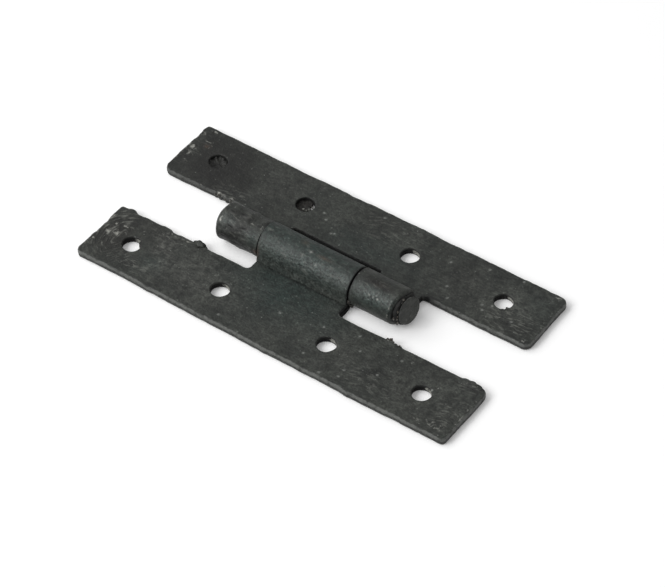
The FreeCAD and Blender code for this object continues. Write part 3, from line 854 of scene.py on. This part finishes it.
def new_group(name, inputs, outputs):
    """Empty shader group with float sockets, apart from Vector. Returns the tree and its two end nodes."""
    tree = bpy.data.node_groups.new(name, "ShaderNodeTree")
    for direction, sockets in (("INPUT", inputs), ("OUTPUT", outputs)):
        for socket in sockets:
            kind = "NodeSocketVector" if socket == "Vector" else "NodeSocketFloat"
            tree.interface.new_socket(socket, in_out=direction, socket_type=kind)
    return tree, tree.nodes.new("NodeGroupInput"), tree.nodes.new("NodeGroupOutput")


# %% Clouds, rubbed edges, strokes, scuffs with painted highlights, and dust
CLOUD_FIELDS = (  # name, times the scale, detail, spread about the middle
    ("Tone", 1.0, 5.0, 0.2), ("Hue", 0.5, 3.0, 0.15), ("Mottle", 5.0, 4.0, 0.25), ("Grain", 13.0, 3.0, 0.3),
)
RAGGED_SCALE, RAGGED_PUSH, RUBBED_SOFT = 1100.0, 0.7, 0.9  # of the border of a rubbed edge
STROKE_SLOW, STROKE_SCALE = 250.0, 2.4  # along and across a stroke
LIGHT_STROKE, DARK_STROKE = (0.54, 0.64), (0.46, 0.36)  # levels at which a stroke starts and is full
SCUFF_SCALE, SCUFF_CROWD, SCUFF_LEVELS = 1700.0, 0.3, (0.7, 0.9)
DUST_LEVELS = (0.69, 0.76)


def clouds_group():
    """Fields from 0 to 1: Tone and Hue in slow clouds, Mottle a millimetre wide, Grain a few tenths."""
    tree, given, result = new_group("wax clouds", ["Vector", "Scale"], [field[0] for field in CLOUD_FIELDS])
    place, scale = given.outputs["Vector"], given.outputs["Scale"]
    for output, times, detail, spread in CLOUD_FIELDS:
        field = noise(tree, place, math_node(tree, "MULTIPLY", scale, times), detail)
        tree.links.new(remap(tree, field, 0.5 - spread, 0.5 + spread), result.inputs[output])
    return tree


def rubbed_group():
    """Mask of rubbed edges: strong on the edge, gone one width away, with a ragged border."""
    tree, given, result = new_group("rubbed edges", ["Vector", "Edge", "Width"], ["Mask"])
    ragged = noise(tree, given.outputs["Vector"], RAGGED_SCALE, detail=4.0)
    share = math_node(tree, "DIVIDE", given.outputs["Edge"], given.outputs["Width"])
    push = remap(tree, ragged, 0.3, 0.7, -RAGGED_PUSH, RAGGED_PUSH)
    near = math_node(tree, "SUBTRACT", 1.0, math_node(tree, "ADD", share, push))
    tree.links.new(remap(tree, near, 0.0, RUBBED_SOFT), result.inputs["Mask"])
    return tree


def strokes_group():
    """Light and dark strokes: peaks and hollows of a noise drawn out along the lines of equal Across."""
    tree, given, result = new_group("brush strokes", ["Vector", "Across"], ["Light", "Dark"])
    place = {"Vector": given.outputs["Vector"], "Scale": STROKE_SLOW}
    slow = add(tree, "ShaderNodeVectorMath", place, operation="SCALE").outputs[0]
    along = add(tree, "ShaderNodeSeparateXYZ", {"Vector": slow}).outputs
    axes = {"X": given.outputs["Across"], "Y": along["X"], "Z": along["Y"]}
    drawn = add(tree, "ShaderNodeCombineXYZ", axes).outputs[0]
    field = noise(tree, drawn, STROKE_SCALE, detail=3.0)
    tree.links.new(remap(tree, field, *LIGHT_STROKE), result.inputs["Light"])
    tree.links.new(remap(tree, field, *DARK_STROKE), result.inputs["Dark"])
    return tree


def scuff_and_highlight_group():
    """Mask of scuffs and painted highlights inside a soft spot: flecks that crowd towards its middle, where the
    steel shows.
    """
    tree, given, result = new_group("scuffs_and_painted_highlights", ["Vector", "Spot"], ["Mask"])
    spot = given.outputs["Spot"]
    flecks = noise(tree, given.outputs["Vector"], SCUFF_SCALE, detail=4.0)
    raised = math_node(tree, "ADD", flecks, math_node(tree, "MULTIPLY", spot, SCUFF_CROWD))
    mask = math_node(tree, "MULTIPLY", remap(tree, raised, *SCUFF_LEVELS), spot)
    tree.links.new(mask, result.inputs["Mask"])
    return tree


def dust_group():
    """Mask of dust: the rare peaks of a fine noise."""
    tree, given, result = new_group("dust", ["Vector", "Scale"], ["Mask"])
    peaks = noise(tree, given.outputs["Vector"], given.outputs["Scale"], detail=2.0)
    tree.links.new(remap(tree, peaks, *DUST_LEVELS), result.inputs["Mask"])
    return tree


CLOUDS, RUBBED, STROKES = clouds_group(), rubbed_group(), strokes_group()
SCUFFS_AND_HIGHLIGHTS, DUST = scuff_and_highlight_group(), dust_group()
print("effects:", [group.name for group in (CLOUDS, RUBBED, STROKES, SCUFFS_AND_HIGHLIGHTS, DUST)])

# %% [markdown]
# The material stacks these masks as the real finish was laid: black first, then clouds, then rust and
# dirt, and what was rubbed off last. Painted highlights along the barrel and painted shade in hollows and
# creases are laid in among them. Bare steel is a metal and shines, wax is not and only gleams, so the same
# masks drive the metallic and roughness sockets.

# %% Waxed steel
BLACK = (0.009, 0.0112, 0.0095, 1)
GREY_BLACK = (0.038, 0.042, 0.036, 1)
BROWN_BLACK = (0.0095, 0.009, 0.007, 1)
TEAL_BLACK = (0.0155, 0.028, 0.0245, 1)
RUBBED_GREY = (0.1, 0.104, 0.097, 1)
STROKE_GREY = (0.17, 0.172, 0.155, 1)
# light grey of the painted highlight along the barrel
PAINTED_HIGHLIGHT_GREY = (0.1, 0.122, 0.112, 1)
# grey of bare steel, also used for painted highlights on the knuckles and the lit hole walls
BARE_STEEL_AND_HIGHLIGHT = (0.34, 0.34, 0.31, 1)
RUST_BROWN = (0.085, 0.05, 0.032, 1)
# pale wax, also used for painted light on the knuckles
PALE_WAX_AND_PAINTED_LIGHT = (0.075, 0.076, 0.068, 1)
DUST_GREY = (0.3, 0.31, 0.29, 1)
# near-black of dirt and of painted shade
DIRT_AND_SHADE_BLACK = (0.004, 0.004, 0.004, 1)
WORKED_KEYS = ("rubbed", "pit", "brush")  # the paint values that are worked out, and then those from marks
PAINT_KEYS = WORKED_KEYS + tuple(near_leaf.marks)

CLOUD_SCALE, DUST_SCALE = 190.0, 1900.0
TINT_SHARE, CLOUD_BROWN = 0.8, 0.3  # of the teal and brown tints, and of the clouds that are brown
MOTTLE_TONES, GRAIN_TONES = (0.6, 1.4), (0.2, 1.8)  # times the colour
HIGHLIGHT_GRAIN = (0.35, 0.95)  # grain at which the painted highlight starts and is full
RUBBED_SHARE = 0.85
PLAIN_STROKES, DARK_SHARE, LIGHT_SHARE = 0.12, 0.7, 0.65  # away from creases, and of dark and light strokes
DUST_SHARE = 0.32
WAX_ROUGH, SATIN_SMOOTH = (0.46, 0.72), 0.1
SCUFF_METAL = 0.6
WAX_GLOSS = 0.4
BUMP_STRENGTH, BUMP_HEIGHT = 0.7, 0.1 * MM


def waxed_steel(name, edge_width):
    """Material of blackened, waxed steel whose rubbed edges are a width wide, in millimetres."""
    material = bpy.data.materials.new(name)
    material.use_nodes = True
    tree = material.node_tree
    shader = tree.nodes["Principled BSDF"]
    shader.inputs["Specular IOR Level"].default_value = WAX_GLOSS
    place = add(tree, "ShaderNodeTexCoord").outputs["Object"]

    def value_of(key):
        return add(tree, "ShaderNodeAttribute", attribute_name=key).outputs["Fac"]

    def use(which, **inputs):
        return add(tree, "ShaderNodeGroup", node_tree=which, inputs={"Vector": place, **inputs}).outputs

    def times(first, second):
        return math_node(tree, "MULTIPLY", first, second)

    def larger(first, second):
        return math_node(tree, "MAXIMUM", first, second)

    painted = {key: value_of(key) for key in PAINT_KEYS}
    clouds = use(CLOUDS, Scale=CLOUD_SCALE)
    rubbed = use(RUBBED, Edge=painted["rubbed"], Width=edge_width)["Mask"]
    strokes = use(STROKES, Across=painted["brush"])
    scuffs_and_painted_highlights = use(SCUFFS_AND_HIGHLIGHTS, Spot=painted["bright"])["Mask"]
    dust = use(DUST, Scale=DUST_SCALE)["Mask"]
    brown = larger(painted["brown"], times(clouds["Hue"], CLOUD_BROWN))
    # painted highlight: a grainy light band along the knuckles where the lamp's gleam falls
    painted_highlight = times(painted["satin"], remap(tree, clouds["Grain"], *HIGHLIGHT_GRAIN))
    worked = larger(painted["crease"], PLAIN_STROKES)
    dark_strokes, light_strokes = (times(strokes[key], worked) for key in ("Dark", "Light"))
    # dirt together with painted shade in hollows, corners and creases
    dirt = larger(painted["dirt"], painted["pit"])

    colour = blend_colour(tree, clouds["Tone"], BLACK, GREY_BLACK)
    for share, tint in (
        (times(painted["teal"], TINT_SHARE), TEAL_BLACK),
        (times(brown, TINT_SHARE), BROWN_BLACK),
        (times(painted["pale"], clouds["Mottle"]), PALE_WAX_AND_PAINTED_LIGHT),
    ):
        colour = blend_colour(tree, share, colour, tint)
    for field, tones in (("Mottle", MOTTLE_TONES), ("Grain", GRAIN_TONES)):
        colour = blend_colour(tree, 1.0, colour, remap(tree, clouds[field], 0.0, 1.0, *tones), "MULTIPLY")
    for share, tint in (
        (times(painted["rust"], clouds["Grain"]), RUST_BROWN),
        (painted_highlight, PAINTED_HIGHLIGHT_GREY),
        (times(rubbed, RUBBED_SHARE), RUBBED_GREY),
        (times(dark_strokes, DARK_SHARE), DIRT_AND_SHADE_BLACK),
        (times(light_strokes, LIGHT_SHARE), STROKE_GREY),
        (dirt, DIRT_AND_SHADE_BLACK),
        (scuffs_and_painted_highlights, BARE_STEEL_AND_HIGHLIGHT),
        (larger(times(dust, DUST_SHARE), painted["speck"]), DUST_GREY),
    ):
        colour = blend_colour(tree, share, colour, tint)

    rough = remap(tree, clouds["Grain"], 0.0, 1.0, *WAX_ROUGH)
    rough = math_node(tree, "SUBTRACT", rough, times(painted["satin"], SATIN_SMOOTH))
    height = math_node(tree, "SUBTRACT", clouds["Grain"], dark_strokes)
    relief = {"Height": height, "Strength": BUMP_STRENGTH, "Distance": BUMP_HEIGHT}
    bump = add(tree, "ShaderNodeBump", relief)
    tree.links.new(colour, shader.inputs["Base Color"])
    tree.links.new(larger(rough, dirt), shader.inputs["Roughness"])
    tree.links.new(times(scuffs_and_painted_highlights, SCUFF_METAL), shader.inputs["Metallic"])
    tree.links.new(bump.outputs["Normal"], shader.inputs["Normal"])
    return material


leaf_finish = waxed_steel("waxed leaf", edge_width=0.24)
pin_finish = waxed_steel("waxed pin", edge_width=0.3)
print("nodes in the finish:", len(leaf_finish.node_tree.nodes))

# %% Leaves in place


def new_piece(name, points, faces, paint, material):
    """Mesh object at the origin, from points in millimetres, with each paint value as an attribute."""
    mesh = bpy.data.meshes.new(name)
    mesh.from_pydata((points * MM).tolist(), [], faces)
    mesh.polygons.foreach_set("use_smooth", np.ones(len(mesh.polygons), bool))
    for key, values in paint.items():
        attribute = mesh.attributes.new(key, "FLOAT", "POINT")
        attribute.data.foreach_set("value", np.ascontiguousarray(values, np.float32))
    mesh.materials.append(material)
    mesh.update()
    piece = bpy.data.objects.new(name, mesh)
    bpy.context.scene.collection.objects.link(piece)
    triangles = sum(len(polygon.vertices) - 2 for polygon in mesh.polygons)
    print(f"{name}: {len(mesh.vertices)} points, {triangles} triangles")
    return piece


near_piece = new_piece("forged_centre_leaf", *leaf_mesh(near_leaf), leaf_finish)
far_piece = new_piece("forged_outer_leaf", *leaf_mesh(far_leaf), leaf_finish)

# %% [markdown]
# ## The pin
# The pin is a plain rod. Its left end was hammered over until it spread onto the knuckle. Its right end
# was cut off a little askew and filed flat, and black wax has packed into the groove behind it. A turned
# shape is a profile carried round a circle, so the pin and its collar of wax are one profile, and the
# slope of the cut is a shear of its last few rings.

# %% Turned shapes


def ring_faces(rings, sides):
    """Faces over a stack of rings between two pole points: quads, and a fan at each pole."""
    i, j = np.meshgrid(np.arange(rings - 1), np.arange(sides), indexing="ij")
    here, beside = 1 + i * sides + j, 1 + i * sides + (j + 1) % sides
    quads = np.stack([here, here + sides, beside + sides, beside], axis=-1).reshape(-1, 4)
    first, last = 1 + np.arange(sides), 1 + (np.arange(sides) + 1) % sides
    top = (rings - 1) * sides
    start_fan = np.stack([np.zeros(sides, int), first, last], axis=1)
    end_fan = np.stack([np.full(sides, 1 + top + sides), last + top, first + top], axis=1)
    return quads.tolist() + start_fan.tolist() + end_fan.tolist()


def turned(profile, sides):
    """Points and faces of a profile of (x, radius) carried round the X axis. Its ends are single points."""
    along, radius = np.array(profile, float).T
    turn = np.linspace(0, 2 * np.pi, sides, endpoint=False)
    x, angle = np.meshgrid(along[1:-1], turn, indexing="ij")
    reach = np.broadcast_to(radius[1:-1, None], x.shape)
    body = np.stack([x, reach * np.sin(angle), reach * np.cos(angle)], axis=-1).reshape(-1, 3)
    poles = np.array([[along[0], 0, 0], [along[-1], 0, 0]])
    return np.concatenate([poles[:1], body, poles[1:]]), ring_faces(len(along) - 2, sides)


# %% Turn the pin
PIN_RADIUS, PIN_SIDES = 2.2, 96
HEAD_RADIUS = pin_high[1]
FACE_SLOPE = (0.13, -0.15)  # of the cut right end, along Y and Z
COLLAR_UNEVEN, PIN_UNEVEN = 0.035, 0.006  # shares of the radius
PIN_WAVE = 1.3
HEAD_RIM = 0.12  # added to the distance from the filed end's rim, so that some wax is left on it
# the collar's black wax, painted shade in the groove behind the filed end, and a paler filed end
COLLAR_DIRT, GROOVE_SHADE, HEAD_PALE = 0.7, 0.3, 0.3
NOT_RUBBED = 9.0  # a distance from any rubbed edge

seat_left, seat_right = left_span[0] + 0.05, right_span[1] + 0.2
face_left, face_right = left_span[0] - 0.8, pin_high[0] + 0.05
collar = seat_right - 1.2  # where the collar of wax starts
groove = face_right - 0.38
head_back = groove + 0.15
peened_end = [
    (face_left, 0), (face_left + 0.02, 1.0), (face_left + 0.12, 1.9), (face_left + 0.3, 2.45),
    (face_left + 0.55, 2.75), (seat_left - 0.1, 2.85), (seat_left, 2.7), (seat_left + 0.02, PIN_RADIUS),
]
wax_collar = [
    (collar, PIN_RADIUS), (collar + 0.1, 2.9), (collar + 0.7, 3.05), (seat_right, 3.1),
    (seat_right + 0.3, 3.05), (groove - 0.1, 2.9), (groove, 2.5), (groove + 0.12, 2.5),
]
filed_end = [
    (head_back, 2.7), (face_right - 0.08, HEAD_RADIUS), (face_right - 0.02, HEAD_RADIUS - 0.03),
    (face_right, HEAD_RADIUS - 0.1), (face_right, 2.2), (face_right + 0.01, 1.4), (face_right + 0.02, 0),
]
pin_points, pin_faces = turned(peened_end + wax_collar + filed_end, PIN_SIDES)
along, across, rise = pin_points.T.copy()
in_collar = (along > collar + 0.05) & (along < head_back - 0.01)
on_head = along > head_back - 0.02
lumpy = 1 + np.where(in_collar, COLLAR_UNEVEN, PIN_UNEVEN) * ripple(along * 2 + across, rise, PIN_WAVE, 301)
askew = np.clip((along - seat_right) / (groove - seat_right), 0, 1)
pin_points[:, 0] += askew * (FACE_SLOPE[0] * across + FACE_SLOPE[1] * rise)
pin_points[:, 1:] *= lumpy[:, None]
pin_points[:, 2] += BARREL_RADIUS
pin_paint = {key: np.zeros(len(pin_points)) for key in PAINT_KEYS}
in_groove = abs(along - groove - 0.06) < 0.1
pin_paint["rubbed"] = np.where(on_head, HEAD_RIM + HEAD_RADIUS - np.hypot(across, rise), NOT_RUBBED)
pin_paint["dirt"] = COLLAR_DIRT * in_collar + GROOVE_SHADE * in_groove
pin_paint["brown"] = np.where(along > groove, 0.0, 1.0)
pin_paint["pale"] = HEAD_PALE * on_head
pin_piece = new_piece("peened_pin", pin_points, pin_faces, pin_paint, pin_finish)

# %% [markdown]
# ## Wax in the holes and joints
# The wax was put on hot and thick. It still fills one screw hole, half fills the next, and hangs in
# crumbs at the foot of a joint, in the pin's groove and on torn edges. A plug is a profile carried round
# the hole's axis with an uneven top. A crumb is a small ball swollen by a ripple. A dark block of painted
# shade in the corner beside the middle knuckle's neck is a ball drawn out to a block.

# %% Wax plugs
PLUG_SIDES = 72
PLUG_FOOT = 0.02  # of a plug over the floor, and into the hole's wall
PLUG_UNEVEN, PLUG_WAVE, PLUG_SEED = 0.1, 1.0, 400
MOUTH_WIDTH = 0.7  # half width of a plug's open side, in radians


def wax_plug(place, depth, opening, seed):
    """Points and faces of a plug: a disc in the hole, hollowed to a depth, with one side left open."""
    share = np.array([0.0, 0.35, 0.7, 0.95, 1.0, 1.0, 0.96, 0.85, 0.7, 0.5, 0.3, 0.12, 0.0])
    level = np.array([0.0, 0.0, 0.0, 0.0, 0.1, 0.8, 0.95, 0.9, 0.82, 0.76, 0.72, 0.7, 0.7])
    turn = np.linspace(0, 2 * np.pi, PLUG_SIDES, endpoint=False)
    out, angle = np.meshgrid(share[1:-1], turn, indexing="ij")
    height = np.repeat(level[1:-1, None], len(turn), axis=1) * (THICKNESS - depth)
    from_mouth = np.angle(np.exp(1j * (angle - opening[0])))
    mouth = np.exp(-((from_mouth / MOUTH_WIDTH) ** 4)) * opening[1]
    radius = (HOLE_RADIUS + PLUG_FOOT - mouth) * out
    x, v = place + radius * np.cos(angle), HOLE_LINE - radius * np.sin(angle)
    height = height * (1 + PLUG_UNEVEN * ripple(x, v, PLUG_WAVE, seed)) + PLUG_FOOT
    body = np.stack([x, v, height], axis=-1).reshape(-1, 3)
    middle = PLUG_FOOT + level[-1] * (THICKNESS - depth)
    ends = np.array([[place, HOLE_LINE, PLUG_FOOT], [place, HOLE_LINE, middle]])
    return np.concatenate([ends[:1], body, ends[1:]]), ring_faces(len(share) - 2, len(turn))


def plain_paint(count, **values):
    """Paint of a piece that is the same all over: no rubbed edge, and the values given."""
    paint = {key: np.full(count, float(values.get(key, 0))) for key in PAINT_KEYS}
    paint["rubbed"] += NOT_RUBBED
    return paint


wax_pieces = []
for name, number, depth, opening, looks in (
    ("wax_plug_outer", 0, 0.45, (0, 0), {"dirt": 0.5, "brown": 1.0}),
    ("wax_plug_inner", 1, 0.8, (-0.3, 1.1), {"dirt": 0.75, "rust": 0.4}),
):
    points, faces = wax_plug(HOLE_PLACES[number], depth, opening, PLUG_SEED + number)
    plug = new_piece(name, points, faces, plain_paint(len(points), **looks), leaf_finish)
    wax_pieces.append((plug, "outer_leaf"))

# %% Wax crumbs
CRUMB_RINGS, CRUMB_SIDES = 13, 20
CRUMB_SWELL, CRUMB_WAVE, CRUMB_SEED = 0.4, 1.6, 500


def crumbs(places, power, seed):
    """Points and faces of crumbs, from a middle and three radii: balls of rings swollen by a ripple.

    On a ball the squares of the three shares of the radii add up to one. A higher power gives a block.
    """
    rise = np.linspace(-np.pi / 2, np.pi / 2, CRUMB_RINGS)
    ball, ball_faces = turned(np.stack([np.sin(rise), np.cos(rise)], axis=1), CRUMB_SIDES)
    ball /= (abs(ball) ** power).sum(1, keepdims=True) ** (1 / power)
    points, faces = [], []
    for number, (middle, radii) in enumerate(places):
        uneven = ripple(ball[:, 0] + ball[:, 1], ball[:, 2], CRUMB_WAVE, seed + number)
        swell = 1 + CRUMB_SWELL / power * uneven
        points.append(np.array(middle) + swell[:, None] * ball * radii)
        faces += [[corner + number * len(ball) for corner in face] for face in ball_faces]
    points = np.concatenate(points)
    points[:, 2] = np.maximum(points[:, 2], 0)
    return points, faces


joint_foot = right_span[0] - 0.1
for name, body, power, places, looks in (
    ("joint_wax", "outer_leaf", 2, [
        ((joint_foot + 0.25, -3.5, 2.6), 0.4), ((joint_foot + 0.5, -3.3, 1.7), 0.35),
        ((joint_foot + 0.15, -2.7, 0.9), 0.4), ((seat_right + 0.1, -2.5, 2.0), 0.3),
        ((seat_right - 0.1, -2.9, 3.4), 0.25), ((seat_right + 0.3, -1.2, 6.3), 0.2),
    ], {"dirt": 0.5, "rust": 0.3}),
    ("edge_wax", "outer_leaf", 2, [
        ((-29.0, 6.4, 1.1), 0.22), ((-28.1, 6.35, 1.3), 0.28), ((-26.6, 6.4, 1.0), 0.25),
        ((-25.4, 6.4, 1.2), 0.3),
    ], {"bright": 0.8, "rust": 0.4}),
    ("burr_wax", "centre_leaf", 2, [
        ((19.7, -6.3, 1.5), 0.25), ((20.3, -6.2, 1.7), 0.3), ((20.9, -6.4, 1.5), 0.22),
        ((22.4, -6.5, 1.5), 0.18),
    ], {"rust": 0.7, "bright": 0.3}),
    # a near-black block beside the middle knuckle's neck: painted shade where the neck and knuckle shade the
    # corner
    ("corner_shade_block", "centre_leaf", 5, [
        ((8.4, -4.7, 0.3), (0.5, 2.1, 0.8)), ((9.25, -6.7, 0.5), (0.75, 0.5, 0.6)),
    ], {"dirt": 0.95}),
    ("groove_wax", "outer_leaf", 2, [
        ((18.75, -3.05, 3.5), (0.2, 0.16, 0.35)), ((19.35, -3.0, 3.6), (0.16, 0.14, 0.28)),
        ((19.45, -2.9, 4.3), (0.12, 0.12, 0.2)), ((19.35, -2.65, 5.25), (0.16, 0.2, 0.3)),
        ((19.3, -0.7, 6.75), (0.2, 0.3, 0.14)), ((19.5, -2.95, 2.7), (0.18, 0.12, 0.2)),
    ], {"rust": 0.5, "pale": 1.0, "bright": 0.7}),
    ("hole_wax", "outer_leaf", 2, [
        ((-11.75, 13.25, 0.95), 0.3), ((-12.25, 12.75, 0.8), 0.24), ((-11.55, 13.95, 1.0), 0.2),
        ((-12.9, 13.0, 0.6), 0.25),
    ], {"bright": 0.9, "pale": 0.6}),
    ("edge_lump", "centre_leaf", 2, [((-22.9, -6.35, 1.3), (1.3, 0.75, 0.75))], {"dirt": 0.3}),
):
    points, faces = crumbs(places, power, CRUMB_SEED)
    crumb = new_piece(name, points, faces, plain_paint(len(points), **looks), leaf_finish)
    wax_pieces.append((crumb, body))

# %% [markdown]
# ## Hand the pieces to the frame
# A piece has to move with the body that it belongs to. The two leaves and the pin take the place of the
# frame's own solids. The wax and the block of painted shade take the place of none, so each only rides on
# the leaf that it sticks to.

# %% Bodies, nodes and slots
for piece, node, body, slot in (
    (near_piece, "centre_knuckle_leaf", "centre_leaf", "waxed_leaf"),
    (far_piece, "outer_knuckle_leaf", "outer_leaf", "waxed_leaf"),
    (pin_piece, "hinge_pin", "outer_leaf", "waxed_pin"),
):
    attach(piece, body)
    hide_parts(node)
for piece, body in wax_pieces:
    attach(piece, body)
print("pieces on the frame:", 3 + len(wax_pieces))

# %% [markdown]
# ## Floor
# The hinge lies on white paper. Paper in a soft light is never quite white in a picture, and more light
# would wash out the black hinge. So the paper glows a little, but only for rays that look at it, and
# still takes the shadow.

# %% White paper
FLOOR_SIZE = 4.0
FLOOR_GAP = 0.02 * MM  # keeps the floor clear of the flat underside
PAPER_WHITE = (0.94, 0.94, 0.94, 1)
PAPER_ROUGH = 0.9
PAPER_GLOW = 0.1


def floor_paper():
    """Matte white paper that glows a little where it is looked at, and not as a lamp on the hinge."""
    material = bpy.data.materials.new("white paper")
    material.use_nodes = True
    tree = material.node_tree
    shader = tree.nodes["Principled BSDF"]
    shader.inputs["Base Color"].default_value = PAPER_WHITE
    shader.inputs["Roughness"].default_value = PAPER_ROUGH
    shader.inputs["Specular IOR Level"].default_value = 0.0
    seen = add(tree, "ShaderNodeLightPath").outputs
    direct = math_node(tree, "MAXIMUM", seen["Is Camera Ray"], seen["Is Glossy Ray"])
    direct = math_node(tree, "MAXIMUM", direct, seen["Is Transmission Ray"])
    shader.inputs["Emission Color"].default_value = (1, 1, 1, 1)
    tree.links.new(math_node(tree, "MULTIPLY", direct, PAPER_GLOW), shader.inputs["Emission Strength"])
    return material


corners = np.array([(-1, -1, 0), (1, -1, 0), (1, 1, 0), (-1, 1, 0)]) * FLOOR_SIZE / 2 - (0, 0, FLOOR_GAP)
floor_mesh = bpy.data.meshes.new("floor")
floor_mesh.from_pydata(corners.tolist(), [], [(0, 1, 2, 3)])
floor_mesh.materials.append(floor_paper())
floor = bpy.data.objects.new("floor", floor_mesh)
bpy.context.scene.collection.objects.link(floor)
print(f"floor {FLOOR_SIZE:.0f} m wide")

# %% [markdown]
# ## Light
# Two large soft lamps light the hinge, one in front and a weaker one on the left, in a white room that is
# brighter on the left. The lamps give the barrel its gleam and the paper its short shadows, and the room
# fills them.

# %% Room and lamps
ROOM_STRENGTH, ROOM_CONTRAST = 0.46, 0.45
BRIGHT_SIDE = Vector((-0.8, -0.3, 0.5)).normalized()  # of the room

world = bpy.data.worlds.new("white room")
world.use_nodes = True
room = world.node_tree
ways = {0: add(room, "ShaderNodeTexCoord").outputs["Generated"], 1: BRIGHT_SIDE}
facing = add(room, "ShaderNodeVectorMath", ways, operation="DOT_PRODUCT").outputs["Value"]
dim, bright = ((1 + sign * ROOM_CONTRAST) * ROOM_STRENGTH for sign in (-1, 1))
room.links.new(remap(room, facing, -1.0, 1.0, dim, bright), room.nodes["Background"].inputs["Strength"])
room.nodes["Background"].inputs["Color"].default_value = (1, 1, 1, 1)
bpy.context.scene.world = world


def soft_lamp(name, place, size, level):
    """Square lamp aimed at the origin. Level is the share of plain light that it adds on what faces it."""
    lamp = bpy.data.lights.new(name, "AREA")
    lamp.size = size
    place = Vector(place)
    lamp.energy = level * math.pi**2 * place.length_squared
    holder = bpy.data.objects.new(name, lamp)
    holder.location = place
    holder.rotation_euler = place.to_track_quat("Z", "Y").to_euler()
    bpy.context.scene.collection.objects.link(holder)
    print(f"{name}: {lamp.energy:.1f} W")


soft_lamp("front lamp", (-0.36, -0.6, 0.58), size=0.45, level=0.53)
soft_lamp("left lamp", (-0.6, -0.1, 0.65), size=0.6, level=0.3)

# %% [markdown]
# ## Camera
# The camera stands where the photograph was taken from. Its place was found by fitting a pinhole camera
# to the holes, corners and barrel: two angles, a slight roll, a distance, and a focal length in the
# picture's pixels.

# %% Place the camera
AZIMUTH, ELEVATION, ROLL = (math.radians(angle) for angle in (35.65, 46.6, -0.74))
DISTANCE, SHIFT_RIGHT, SHIFT_DOWN = 491.18, -2.39, -2.57  # from the camera to the hinge's middle, in mm
FOCAL_PIXELS, PHOTO_WIDTH, SENSOR = 2633.9, 665, 36.0
NEAREST = 0.01  # metres in front of the lens that the camera sees

level_right = Vector((math.cos(AZIMUTH), math.sin(AZIMUTH), 0))
level_back = Vector((math.sin(AZIMUTH), -math.cos(AZIMUTH), 0))
back = math.cos(ELEVATION) * level_back + Vector((0, 0, math.sin(ELEVATION)))
level_up = back.cross(level_right)
right = math.cos(ROLL) * level_right + math.sin(ROLL) * level_up
up = math.cos(ROLL) * level_up - math.sin(ROLL) * level_right
lens = bpy.data.cameras.new("camera")
lens.sensor_width = SENSOR
lens.lens = FOCAL_PIXELS * SENSOR / PHOTO_WIDTH
lens.clip_start = NEAREST
camera = bpy.data.objects.new("camera", lens)
stand = (back * DISTANCE - right * SHIFT_RIGHT + up * SHIFT_DOWN) * MM
camera.matrix_world = Matrix.Translation(stand) @ Matrix((right, up, back)).transposed().to_4x4()
bpy.context.scene.collection.objects.link(camera)
bpy.context.scene.camera = camera
bpy.context.scene.view_settings.view_transform = "Standard"
print(f"camera at {[round(value, 3) for value in stand]} m, {lens.lens:.1f} mm lens")
